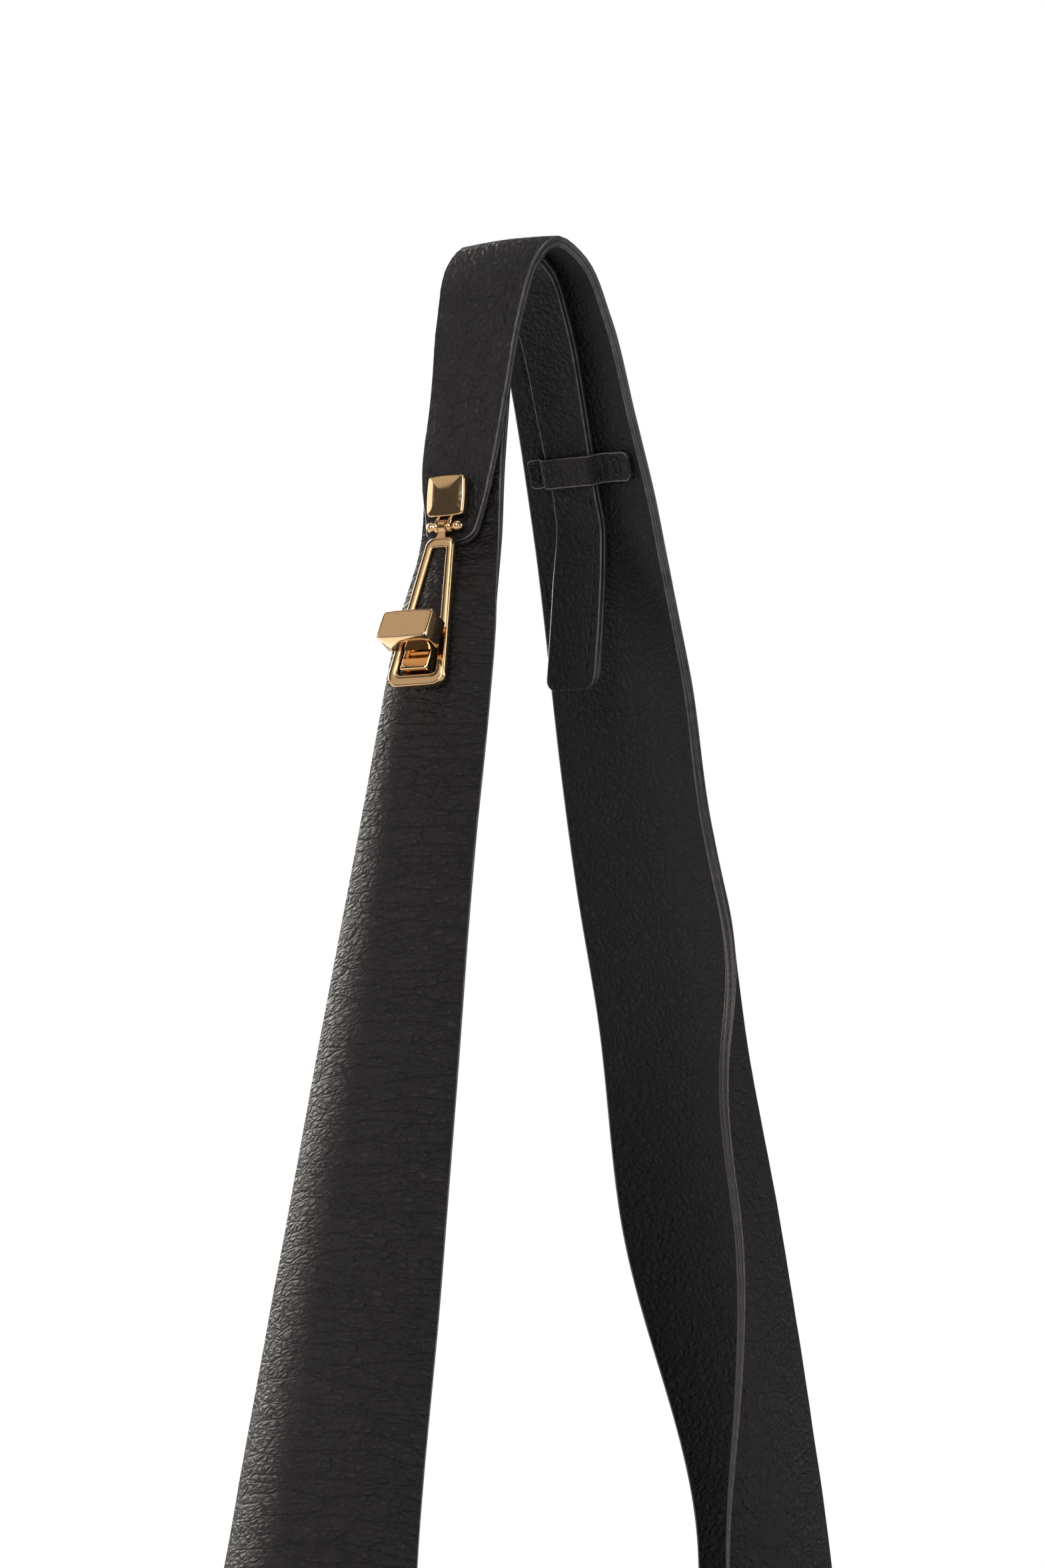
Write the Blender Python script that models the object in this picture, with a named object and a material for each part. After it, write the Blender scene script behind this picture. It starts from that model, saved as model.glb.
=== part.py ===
"""Leather shoulder bag with a hinged loop and a turn lock, modelled in metres, +Z up.

The bag stands on its base, centred on the origin. Its length runs along X and its front faces -Y.
Two wings rise from its ends and meet in a strap: the left wing ends in a tongue that passes under the
right wing's over-strap, over the crest and down through the keeper on the right.
"""
import math

import bmesh
import bpy
import numpy as np
from mathutils import Matrix, Vector

MM = 0.001

# ---------------------------------------------------------------- driving dimensions, in millimetres
CREST_HEIGHT = 600.0        # top of the strap above the ground
BASE_THICKNESS = 2.8
CLEARANCE = 0.3             # between neighbouring pieces
LEATHER_SEAM = 1.2          # between a panel and the wings it is sewn to
LINING_TRIM = 0.02          # share of a panel's length by which its lining stops short of each seam

# Layers, measured outwards from the surface where the two straps touch
UNDER_LEATHER = (-1.4, 0.0)
UNDER_LINING = (-2.9, -1.7)
OVER_LINING = (0.5, 1.7)
OVER_LEATHER = (2.0, 3.4)

PIN_RADIUS = 0.9
PIN_RISE = 1.95             # pin above the tab's leather
BALL_RADIUS = 1.35
LUG_RADIUS = 1.6
LOOP_THICKNESS = 2.0
# Corners and corner radii, in the loop's plane: Y runs up from below to the pin at 0
LOOP_OUTSIDE = ([(-3.9, -3.2), (-8.8, -43.2), (8.8, -43.2), (3.9, -3.2)], [1.6, 2.6, 2.6, 1.6])
LOOP_WINDOW = ([(-2.2, -5.9), (-6.1, -40.3), (6.1, -40.3), (2.2, -5.9)], [0.8, 1.6, 1.6, 0.8])
HEAD_SIZE = (15.0, 8.1, 6.8)        # across the strap, along it, and outwards
HEAD_UNDERSIDE = 4.2                # above the leather, along the lock's axis
STEM_RADIUS = 1.6
RIVET_RADIUS = 0.55

ROWS_PER_STATION = 2
ACROSS = 8

# ---------------------------------------------------------------- stations along the spine
# Each row: x, z below the crest, curl of the front and back halves in degrees per millimetre,
# half-widths of the under-strap (left wing) and of the over-strap (right wing), front then back.
LEFT_SIDE = (
    # x, z, curl front, curl back, under front, under back, over front, over back
    (-148.0, -597.0, 1.04, 1.04, 86.0, 86.0, 0.0, 0.0),
    (-147.0, -540.0, 1.06, 1.06, 84.0, 84.0, 0.0, 0.0),
    (-139.0, -470.0, 1.20, 1.20, 74.0, 74.0, 0.0, 0.0),
    (-121.0, -400.0, 1.45, 1.40, 50.0, 50.0, 0.0, 0.0),
    (-98.0, -338.0, 1.75, 1.60, 34.5, 35.5, 0.0, 0.0),
    (-75.5, -263.0, 1.60, 1.50, 27.2, 26.4, 0.0, 0.0),
    (-61.8, -212.0, 1.65, 1.60, 23.2, 24.0, 0.0, 0.0),
    (-49.0, -161.0, 1.75, 1.75, 19.6, 19.5, 0.0, 0.0),
    (-41.4, -121.0, 2.20, 2.20, 19.0, 14.6, 0.0, 0.0),
    (-35.5, -101.0, 2.20, 2.20, 17.2, 13.4, 0.0, 0.0),
    (-24.7, -79.0, 1.50, 1.50, 12.0, 12.8, 7.0, 7.0),
    (-22.8, -64.0, 1.20, 1.20, 11.4, 12.4, 10.0, 10.0),
    (-17.5, -43.0, 0.90, 0.90, 9.6, 11.4, 11.1, 11.1),
    (-12.8, -22.5, 0.60, 0.60, 8.2, 9.8, 12.4, 12.4),
    (-7.4, -9.1, 0.40, 0.40, 7.0, 9.0, 13.6, 13.6),
)
RIGHT_SIDE = (
    (0.8, -3.4, 0.40, 0.40, 6.8, 9.2, 14.0, 14.0),
    (9.6, -6.8, 0.50, 0.50, 6.8, 9.2, 15.4, 14.8),
    (18.6, -20.0, 0.70, 0.70, 6.6, 9.2, 17.0, 16.0),
    (27.6, -44.0, 0.80, 0.80, 6.0, 8.8, 18.8, 16.2),
    (33.6, -62.0, 0.80, 0.80, 5.4, 8.2, 20.6, 16.8),
    (39.6, -82.0, 0.80, 0.80, 6.4, 9.2, 21.8, 17.4),
    (45.4, -101.5, 0.90, 0.80, 6.6, 9.2, 23.4, 18.4),
    (47.4, -108.2, 0.95, 0.80, 4.4, 7.0, 24.0, 18.8),
    (63.5, -161.0, 1.50, 0.75, 0.0, 0.0, 29.0, 21.2),
    (75.0, -195.0, 1.75, 0.70, 0.0, 0.0, 49.0, 22.0),
    (91.5, -246.0, 1.70, 1.20, 0.0, 0.0, 60.0, 24.4),
    (120.5, -338.0, 1.90, 1.60, 0.0, 0.0, 72.0, 18.8),
    (128.5, -400.0, 1.60, 1.60, 0.0, 0.0, 72.0, 28.0),
    (136.5, -470.0, 1.20, 1.20, 0.0, 0.0, 75.0, 66.0),
    (143.6, -540.0, 1.06, 1.06, 0.0, 0.0, 84.0, 84.0),
    (144.6, -597.0, 1.04, 1.04, 0.0, 0.0, 86.0, 86.0),
)
STATIONS = LEFT_SIDE + RIGHT_SIDE
TAB_END = 9.85               # station number where the over-strap's tab ends
TONGUE_TIP = 22.0            # station number of the tongue's tip
KEEPER_STATION = 18.66
TONGUE_FREE = 19.4           # below here the tongue hangs straight down, off the leaning strap
TONGUE_HANG = 15.5           # how far its tip stands off the strap
TONGUE_SKEW = 4.5            # and how far it leans towards the back
PLATE_STATION = 10.585
PIN_STATION = 10.0
LOCK_STATION = 8.62
LOCK_TILT = -11.0            # degrees by which the lock's axis leans below square to the strap
LOOP_REST = 1.35             # height of the loop's middle plane beside the lock, along the lock's axis
BASE_FACE = 2.5              # height of the lock base's outer face along the lock's axis
MOUTH_STATION = 3.0          # where the free edges of the mouth begin
MOUTH_DIP = 22.0             # how far the mouth sags in the middle

KEEPER_HEIGHT = 7.9
KEEPER_HALF = 16.0
KEEPER_SHIFT = -1.2          # its middle lies a little to the front
KEEPER_LOW = (-1.2, 0.2)     # layer against the strap, at both ends
KEEPER_HIGH = (-4.6, -3.2)   # layer over the tongue
KEEPER_FOOT = 9.8            # half-span of the arch over the tongue
KEEPER_RAMP = 2.6
TONGUE_MIDDLE = 1.4          # middle of the tongue where the keeper crosses it
STITCH_PLACES = (("keeper_stitch_front", -12.4), ("keeper_stitch_back", 13.1))

LEATHER = (0.018, 0.017, 0.018)
LINING = (0.030, 0.027, 0.026)
GOLD = (0.83, 0.56, 0.33)
STEEL = (0.55, 0.55, 0.57)
BOARD = (0.25, 0.19, 0.12)
THREAD = (0.03, 0.03, 0.03)


# ---------------------------------------------------------------- the spine and its sections
class Spine:
    """Smooth curve through the stations, with a section plane across it at every point."""

    def __init__(self, rows):
        table = np.array(rows, dtype=float)
        self.table = table
        self.numbers = np.arange(len(table), dtype=float)
        steps = np.hypot(np.diff(table[:, 0]), np.diff(table[:, 1]))
        self.lengths = np.concatenate(([0.0], np.cumsum(steps)))
        self.slopes = np.gradient(table, self.lengths, axis=0)

    def values(self, station):
        """Cubic Hermite blend of every column at a station number."""
        low = int(min(max(math.floor(station), 0), len(self.table) - 2))
        t = station - low
        span = self.lengths[low + 1] - self.lengths[low]
        a, b = self.table[low], self.table[low + 1]
        ma, mb = self.slopes[low] * span, self.slopes[low + 1] * span
        cubic = ((2 * t**3 - 3 * t**2 + 1) * a + (t**3 - 2 * t**2 + t) * ma
                 + (3 * t**2 - 2 * t**3) * b + (t**3 - t**2) * mb)
        return cubic, a + (b - a) * t

    def length(self, station):
        """Distance along the spine from its start, in millimetres."""
        return float(np.interp(station, self.numbers, self.lengths))

    def frame(self, station):
        """Centre point, outward normal and the two curls."""
        here = self.values(station)[0]
        ahead = self.values(station + 0.02)[0]
        behind = self.values(station - 0.02)[0]
        if station < 0.5 or station > self.numbers[-1] - 0.5:
            normal = np.array((-1.0 if station < 1.0 else 1.0, 0.0))
        else:
            run = ahead[:2] - behind[:2]
            normal = np.array((-run[1], run[0])) / np.hypot(run[0], run[1])
        return here[:2], normal, math.radians(here[2]), math.radians(here[3])

    def point(self, station, across, offset):
        """World point at a distance across the strip (front negative) and outwards."""
        centre, normal, front, back = self.frame(station)
        curl = front if across < 0.0 else back
        curl = max(curl, 1e-5)
        angle = curl * abs(across)
        radius = 1.0 / curl + offset
        inward = 1.0 / curl - radius * math.cos(angle)
        side = math.copysign(radius * math.sin(angle), across)
        x = centre[0] - normal[0] * inward
        z = centre[1] - normal[1] * inward
        return Vector((x, side, z + CREST_HEIGHT)) * MM

    def widths(self, station, column):
        """Front and back half-widths of a strip, smooth where the strip exists."""
        smooth, plain = self.values(station)
        use = plain if min(plain[column], plain[column + 1]) < 8.5 else smooth
        return use[column], use[column + 1]


SPINE = Spine(STATIONS)
UNDER_COLUMN = 4
OVER_COLUMN = 6


def station_list(start, end):
    """Station numbers from start to end at an even rate, both ends included."""
    count = max(int(round(abs(end - start) * ROWS_PER_STATION)), 1)
    return [start + (end - start) * i / count for i in range(count + 1)]


# ---------------------------------------------------------------- mesh helpers
def new_object(name, mesh, color, metallic=0.0, roughness=0.55, smooth=True):
    """Link a mesh as a named object with its own material."""
    if smooth:
        mesh.shade_smooth()
        mesh.set_sharp_from_angle(angle=math.radians(35))
    obj = bpy.data.objects.new(name, mesh)
    bpy.context.collection.objects.link(obj)
    material = bpy.data.materials.new(name)
    material.use_nodes = True
    shader = material.node_tree.nodes["Principled BSDF"]
    shader.inputs["Base Color"].default_value = (*color, 1.0)
    shader.inputs["Metallic"].default_value = metallic
    shader.inputs["Roughness"].default_value = roughness
    mesh.materials.append(material)
    return obj


def mesh_from(name, vertices, faces):
    """Closed mesh with its faces turned outwards."""
    mesh = bpy.data.meshes.new(name)
    mesh.from_pydata(vertices, [], faces)
    bm = bmesh.new()
    bm.from_mesh(mesh)
    bmesh.ops.recalc_face_normals(bm, faces=bm.faces)
    bm.to_mesh(mesh)
    bm.free()
    return mesh


def sheet_mesh(name, outer, inner):
    """Closed sheet between two grids of points with the same rows and columns."""
    rows, columns = len(outer), len(outer[0])
    vertices = [p for row in outer for p in row] + [p for row in inner for p in row]
    back = rows * columns
    faces = []
    for r in range(rows - 1):
        for c in range(columns - 1):
            a = r * columns + c
            far = a + columns + 1
            for triangle in ((a, a + 1, far), (a, far, a + columns)):
                faces.append(triangle)
                faces.append(tuple(v + back for v in reversed(triangle)))
    rim = [(0, c) for c in range(columns)]
    rim += [(r, columns - 1) for r in range(1, rows)]
    rim += [(rows - 1, c) for c in range(columns - 2, -1, -1)]
    rim += [(r, 0) for r in range(rows - 2, 0, -1)]
    for i, (r, c) in enumerate(rim):
        next_r, next_c = rim[(i + 1) % len(rim)]
        a = r * columns + c
        b = next_r * columns + next_c
        faces.append((a, b, b + back, a + back))
    return mesh_from(name, vertices, faces)


def prism_mesh(name, outline, low, high, hole=None):
    """Straight prism of an outline in XY, with an optional hole of as many points."""
    count = len(outline)
    rings = [[(x, y, low) for x, y in outline], [(x, y, high) for x, y in outline]]
    faces = []
    if hole:
        rings += [[(x, y, high) for x, y in hole], [(x, y, low) for x, y in hole]]
        for ring in range(4):
            following = (ring + 1) % 4
            for i in range(count):
                j = (i + 1) % count
                near, far = ring * count, following * count
                faces.append((near + i, near + j, far + j, far + i))
    else:
        for i in range(count):
            j = (i + 1) % count
            faces.append((i, j, count + j, count + i))
        faces.append(tuple(range(count)))
        faces.append(tuple(range(count, 2 * count)))
    vertices = [Vector(p) * MM for ring in rings for p in ring]
    return mesh_from(name, vertices, faces)


def lathe_mesh(name, profile, segments=20):
    """Solid of revolution about Z from (radius, height) points that start and end on the axis."""
    vertices = [Vector((0.0, 0.0, profile[0][1])) * MM]
    for radius, height in profile[1:-1]:
        for k in range(segments):
            turn = 2.0 * math.pi * k / segments
            vertices.append(Vector((radius * math.cos(turn), radius * math.sin(turn), height)) * MM)
    vertices.append(Vector((0.0, 0.0, profile[-1][1])) * MM)
    last = len(vertices) - 1
    rings = len(profile) - 2
    faces = []
    for k in range(segments):
        following = (k + 1) % segments
        faces.append((0, 1 + following, 1 + k))
        for ring in range(rings - 1):
            a = 1 + ring * segments
            b = a + segments
            faces.append((a + k, a + following, b + following, b + k))
        top = 1 + (rings - 1) * segments
        faces.append((top + k, top + following, last))
    return mesh_from(name, vertices, faces)


def tube_mesh(name, outer, inner, low, high, segments=20):
    """Ring about Z with a round hole."""
    def circle(radius):
        turns = [2.0 * math.pi * k / segments for k in range(segments)]
        return [(radius * math.cos(turn), radius * math.sin(turn)) for turn in turns]
    return prism_mesh(name, circle(outer), low, high, circle(inner))


def rounded_outline(corners, radii, steps=3):
    """Closed outline through corners, each rounded by its own radius."""
    points = []
    count = len(corners)
    for i, corner in enumerate(corners):
        here = Vector(corner)
        before = (Vector(corners[i - 1]) - here).normalized()
        after = (Vector(corners[(i + 1) % count]) - here).normalized()
        half = 0.5 * before.angle(after)
        reach = radii[i] / math.tan(half)
        start, end = here + before * reach, here + after * reach
        for k in range(steps + 1):
            t = k / steps
            points.append(tuple((1 - t) ** 2 * start + 2 * t * (1 - t) * here + t**2 * end))
    return points


def bevel(obj, width, segments=2):
    """Round an object's edges."""
    modifier = obj.modifiers.new("round", "BEVEL")
    modifier.width = width * MM
    modifier.segments = segments
    modifier.limit_method = "ANGLE"
    modifier.angle_limit = math.radians(40)


def combine(target, tool, operation):
    """Boolean of a tool mesh object, which stays as a hidden guide."""
    modifier = target.modifiers.new(operation.lower(), "BOOLEAN")
    modifier.operation = operation
    modifier.object = tool
    modifier.solver = "EXACT"
    tool.hide_render = True
    tool.display_type = "WIRE"


def guide(name, mesh, matrix):
    """Helper shape used only in Booleans."""
    obj = bpy.data.objects.new(name, mesh)
    bpy.context.collection.objects.link(obj)
    obj.matrix_world = matrix
    obj.hide_render = True
    obj.display_type = "WIRE"
    return obj


def joined_mesh(name, meshes):
    """One mesh of several separate closed bodies."""
    bm = bmesh.new()
    for mesh in meshes:
        bm.from_mesh(mesh)
    result = bpy.data.meshes.new(name)
    bm.to_mesh(result)
    bm.free()
    return result


# ---------------------------------------------------------------- leather strips and panels
def tongue_hang(station):
    """How far the free end of the tongue stands off the strap."""
    free, tip = SPINE.length(TONGUE_FREE), SPINE.length(TONGUE_TIP)
    share = max(SPINE.length(station) - free, 0.0) / (tip - free)
    return TONGUE_HANG * share**1.1


def strip_grids(stations, column, layer):
    """Outer and inner grids of a strip that follows the spine."""
    grids = []
    for offset in (layer[1], layer[0]):
        grid = []
        for station in stations:
            front, back = SPINE.widths(station, column)
            away = tongue_hang(station) if column == UNDER_COLUMN else 0.0
            line = []
            for c in range(ACROSS + 1):
                share = -1.0 + 2.0 * c / ACROSS
                half = front if share < 0.0 else back
                across = share * half + away * TONGUE_SKEW / TONGUE_HANG
                line.append(SPINE.point(station, across, offset - away))
            grid.append(line)
        grids.append(grid)
    return grids


def make_wings():
    """The two long leather pieces and their linings."""
    under = station_list(0.0, 21.0) + [21.4, 21.75, TONGUE_TIP]
    over = [TAB_END, 10.0, 10.15] + station_list(10.4, len(STATIONS) - 1.0)
    parts = (
        ("left_wing", under, UNDER_COLUMN, UNDER_LEATHER, LEATHER),
        ("left_wing_lining", under, UNDER_COLUMN, UNDER_LINING, LINING),
        ("right_wing", over, OVER_COLUMN, OVER_LEATHER, LEATHER),
        ("right_wing_lining", over, OVER_COLUMN, OVER_LINING, LINING),
    )
    wings = {}
    for name, stations, column, layer, color in parts:
        outer, inner = strip_grids(stations, column, layer)
        wings[name] = new_object(name, sheet_mesh(name, outer, inner), color)
    return wings


def panel_point(share, level, side, offset):
    """Point of the front (side -1) or back (side 1) panel between the two wings, a seam gap from each."""
    ends = []
    lift = OVER_LEATHER[1]
    places = ((level, UNDER_COLUMN, 0.0), (len(STATIONS) - 1.0 - level, OVER_COLUMN, lift))
    for station, column, raised in places:
        halves = SPINE.widths(station, column)
        reach = halves[0] if side < 0 else halves[1]
        ends.append(SPINE.point(station, side * (reach + LEATHER_SEAM), offset + raised))
    left, right = ends
    return left.lerp(right, share)


def make_panel(name, side, layer, color):
    """Front or back panel from the base up to the dipped mouth."""
    levels = [MOUTH_STATION * i / 8 for i in range(9)]
    floor = (BASE_THICKNESS + CLEARANCE) * MM
    trim = 0.0 if layer is UNDER_LEATHER else LINING_TRIM
    grids = []
    for offset in (layer[1], layer[0]):
        grid = []
        for level in levels:
            line = []
            for c in range(13):
                share = trim + (1.0 - 2.0 * trim) * c / 12
                point = panel_point(share, level, side, offset)
                rise = max(point.z - floor, 0.0) / (CREST_HEIGHT * MM)
                point.z -= MOUTH_DIP * MM * math.sin(math.pi * share) * min(1.0, rise * 3.0)
                line.append(point)
            grid.append(line)
        grids.append(grid)
    return new_object(name, sheet_mesh(name, *grids), color)


def base_outline(inset):
    """Stadium outline of the base, inset from the outer leather."""
    points = []
    for station, turn, column in ((len(STATIONS) - 1.0, 1, OVER_COLUMN), (0.0, -1, UNDER_COLUMN)):
        half = SPINE.widths(station, column)[0]
        lift = OVER_LEATHER[1] if turn > 0 else 0.0
        for k in range(ACROSS + 1):
            share = (-1.0 + 2.0 * k / ACROSS) * turn
            point = SPINE.point(station, share * half, lift - inset) / MM
            points.append((point.x, point.y))
    return points


def make_base():
    """Leather base, its stiffening board and its lining."""
    bottom = BASE_THICKNESS + CLEARANCE
    new_object("base_panel", prism_mesh("base_panel", base_outline(0.0), 0.0, BASE_THICKNESS), LEATHER)
    board = prism_mesh("base_board", base_outline(4.0), bottom, bottom + 2.5)
    new_object("base_board", board, BOARD)
    lining = prism_mesh("base_lining", base_outline(3.8), bottom + 2.8, bottom + 3.8)
    new_object("base_lining", lining, LINING)


# ---------------------------------------------------------------- keeper

def keeper_lift(across):
    """0 where the keeper lies on the strap, 1 where it crosses the tongue."""
    t = min(max((KEEPER_FOOT - abs(across - TONGUE_MIDDLE)) / KEEPER_RAMP, 0.0), 1.0)
    return t * t * (3.0 - 2.0 * t)


def make_keeper():
    """Band across the inner face of the right strap, arched over the tongue."""
    per_mm = 1.0 / (SPINE.length(KEEPER_STATION + 0.5) - SPINE.length(KEEPER_STATION - 0.5))
    heights = [-0.5, -0.42, -0.2, 0.2, 0.42, 0.5]
    stations = [KEEPER_STATION + h * KEEPER_HEIGHT * per_mm for h in heights]
    corner = {0: 1.4, 1: 0.4, 4: 0.4, 5: 1.4}
    grids = []
    for pick in (1, 0):
        grid = []
        for r, station in enumerate(stations):
            line = []
            half = KEEPER_HALF - corner.get(r, 0.0)
            for c in range(25):
                across = half * (-1.0 + 2.0 * c / 24)
                across += KEEPER_SHIFT
                lift = keeper_lift(across)
                offset = KEEPER_LOW[pick] + (KEEPER_HIGH[pick] - KEEPER_LOW[pick]) * lift
                line.append(SPINE.point(station, across, offset))
            grid.append(line)
        grids.append(grid)
    new_object("keeper", sheet_mesh("keeper", *grids), LEATHER)
    for name, across in STITCH_PLACES:
        make_stitch_frame(name, across, per_mm)


def make_stitch_frame(name, across, per_mm):
    """Rectangle of thread sewn through one end of the keeper, as a flat ring."""
    low = KEEPER_LOW[0] - CLEARANCE
    half_across, half_along, thread = 1.4, 2.3, 0.5
    grids = []
    for offset in (low - thread, low):
        grid = []
        for inset in (0.0, thread):
            corners = ((-1, -1), (1, -1), (1, 1), (-1, 1))
            ring = [SPINE.point(KEEPER_STATION + v * (half_along - inset) * per_mm,
                                across + u * (half_across - inset), offset) for u, v in corners]
            grid.append(ring)
        grids.append(grid)
    rings = (grids[0][0], grids[0][1], grids[1][1], grids[1][0])
    vertices = [point for ring in rings for point in ring]
    faces = []
    for ring in range(4):
        for i in range(4):
            j = (i + 1) % 4
            following = (ring + 1) % 4
            faces.append((4 * ring + i, 4 * ring + j, 4 * following + j, 4 * following + i))
    new_object(name, mesh_from(name, vertices, faces), THREAD, smooth=False)


# ---------------------------------------------------------------- hardware
def strap_frame(station, tilt=0.0, offset=0.0):
    """Matrix whose X runs to the front, Y up the strap and Z outwards, tilted up about X."""
    centre, normal, _, _ = SPINE.frame(station)
    outward = Vector((normal[0], 0.0, normal[1])).normalized()
    across = Vector((0.0, -1.0, 0.0))
    rotation = Matrix.Rotation(math.radians(tilt), 3, across)
    outward = (rotation @ outward).normalized()
    up = outward.cross(across).normalized()
    place = SPINE.point(station, 0.0, offset)
    axes = Matrix((across, up, outward)).transposed().to_4x4()
    return Matrix.Translation(place) @ axes


def block_mesh(name, size, centre):
    """Box with a size and a centre in millimetres."""
    mesh = bpy.data.meshes.new(name)
    bm = bmesh.new()
    bmesh.ops.create_cube(bm, size=1.0)
    bmesh.ops.scale(bm, verts=bm.verts, vec=Vector(size) * MM)
    bmesh.ops.translate(bm, verts=bm.verts, vec=Vector(centre) * MM)
    bm.to_mesh(mesh)
    bm.free()
    return mesh


def pin_row(name, places, radius, low, high, segments=12):
    """Separate round pins along Z at several places."""
    meshes = []
    for x, y in places:
        profile = [(0.0, low), (radius, low), (radius, high), (0.0, high)]
        mesh = lathe_mesh(name, profile, segments)
        mesh.transform(Matrix.Translation(Vector((x, y, 0.0)) * MM))
        meshes.append(mesh)
    return joined_mesh(name, meshes)


def pillow_mesh(name, width, height, rim, crown, cells=10):
    """Plate with a flat back at Z 0, straight sides and a crowned face, its outline slightly bowed."""
    outer, inner = [], []
    for r in range(cells + 1):
        v = -1.0 + 2.0 * r / cells
        top, bottom = [], []
        for c in range(cells + 1):
            u = -1.0 + 2.0 * c / cells
            x = 0.5 * width * u * (1.0 - 0.05 * v * v)
            y = 0.5 * height * v * (1.0 - 0.07 * u * u)
            rise = rim + crown * (1.0 - u**4) * (1.0 - v**4)
            top.append(Vector((x, y, rise)) * MM)
            bottom.append(Vector((x, y, 0.0)) * MM)
        outer.append(top)
        inner.append(bottom)
    return sheet_mesh(name, outer, inner)


def lug_mesh(middle, width, pin):
    """Lug with a pin hole, as an extruded teardrop whose narrow end lies inside the plate."""
    segments = 16
    outline, hole = [], []
    for k in range(segments):
        turn = 2.0 * math.pi * (k + 0.5) / segments
        along, out = math.cos(turn), math.sin(turn)
        outline.append((pin.y + LUG_RADIUS * along, pin.z + LUG_RADIUS * out))
        hole.append((pin.y + (PIN_RADIUS + CLEARANCE) * along, pin.z + (PIN_RADIUS + CLEARANCE) * out))
    outline[0] = (-4.4, 0.95)
    outline[-1] = (-4.4, 0.25)
    mesh = prism_mesh("lug", outline, -0.5 * width, 0.5 * width, hole)
    turn_up = Matrix(((0, 0, 1, middle * MM), (1, 0, 0, 0), (0, 1, 0, 0), (0, 0, 0, 1)))
    mesh.transform(turn_up)
    return mesh


def make_hasp(wings):
    """Plate with its lugs, hinge pin, and the loop that hangs from it."""
    plate_frame = strap_frame(PLATE_STATION, offset=OVER_LEATHER[1] + CLEARANCE)
    pin_frame = strap_frame(PIN_STATION, offset=OVER_LEATHER[1] + PIN_RISE)
    plate = new_object("hasp_plate", pillow_mesh("hasp_plate", 11.2, 10.6, 1.8, 1.3), GOLD, 1.0, 0.2)
    plate.matrix_world = plate_frame
    pin_local = plate_frame.inverted() @ pin_frame.translation / MM
    axle = Matrix.Rotation(math.radians(90), 4, "Y")
    for index, side in enumerate((-1, 1)):
        lug = lug_mesh(side * 1.9, 0.9, pin_local)
        combine(plate, guide(f"lug_guide_{index}", lug, plate_frame), "UNION")
    bore_radius = PIN_RADIUS + CLEARANCE
    bore = lathe_mesh("pin_bore", [(0, -9), (bore_radius, -9), (bore_radius, 9), (0, 9)], 16)
    bore.transform(axle)
    guide("pin_bore_guide", bore, pin_frame)

    ball = 3.95
    turns = [math.pi * k / 6 for k in range(1, 5)]
    cap = [(BALL_RADIUS * math.sin(turn), BALL_RADIUS * math.cos(turn)) for turn in turns]
    profile = [(0.0, -ball - BALL_RADIUS)]
    profile += [(radius, -ball - along) for radius, along in cap]
    profile += [(PIN_RADIUS, -ball + 1.1), (PIN_RADIUS, ball - 1.1)]
    profile += [(radius, ball + along) for radius, along in reversed(cap)]
    profile.append((0.0, ball + BALL_RADIUS))
    pin_mesh = lathe_mesh("hinge_pin", profile, 16)
    pin_mesh.transform(axle)
    pin = new_object("hinge_pin", pin_mesh, GOLD, 1.0, 0.2)
    pin.matrix_world = pin_frame

    lock_frame = strap_frame(LOCK_STATION, tilt=LOCK_TILT)
    hang = lock_frame @ (Vector((0.0, 0.0, LOOP_REST)) * MM) - pin_frame.translation
    down = -Vector((hang.x, 0.0, hang.z)).normalized()
    across = Vector((0.0, -1.0, 0.0))
    axes = Matrix((across, down, across.cross(down))).transposed().to_4x4()
    loop_frame = Matrix.Translation(pin_frame.translation) @ axes
    outer = rounded_outline(*LOOP_OUTSIDE)
    inner = rounded_outline(*LOOP_WINDOW)
    half = 0.5 * LOOP_THICKNESS
    loop = new_object("hasp_loop", prism_mesh("hasp_loop", outer, -half, half, inner), GOLD, 1.0, 0.2)
    loop.matrix_world = loop_frame
    neck = block_mesh("neck", (1.9, 3.2, 1.7), (0.0, -2.7, 0.0))
    eye = lathe_mesh("eye", [(0, -1.1), (1.85, -1.1), (1.85, 1.1), (0, 1.1)], 16)
    eye.transform(axle)
    combine(loop, guide("neck_guide", neck, loop_frame), "UNION")
    combine(loop, guide("eye_guide", eye, loop_frame), "UNION")
    combine(loop, bpy.data.objects["pin_bore_guide"], "DIFFERENCE")

    places = [(-3.2, 1.5), (3.2, 1.5)]
    top = OVER_LEATHER[1]
    skin = strap_frame(PLATE_STATION)
    backing_mesh = block_mesh("plate_backing", (9.0, 6.0, 0.9), (0, 1.5, 1.1))
    backing = new_object("plate_backing", backing_mesh, STEEL, 1.0, 0.35)
    backing.matrix_world = skin
    for name, place in (("plate_rivet_back", places[0]), ("plate_rivet_front", places[1])):
        rivet = new_object(name, pin_row(name, [place], RIVET_RADIUS, 0.75, top), GOLD, 1.0, 0.3)
        rivet.matrix_world = skin
    hole_radius = RIVET_RADIUS + CLEARANCE
    holes = guide("plate_rivet_holes", pin_row("holes", places, hole_radius, -0.2, top + 0.6), skin)
    combine(backing, holes, "DIFFERENCE")
    combine(wings["right_wing"], holes, "DIFFERENCE")
    pocket = guide("backing_pocket", block_mesh("pocket", (9.8, 6.8, 3.0), (0, 1.5, 0.6)), skin)
    combine(wings["right_wing_lining"], pocket, "DIFFERENCE")
    return loop_frame


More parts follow.
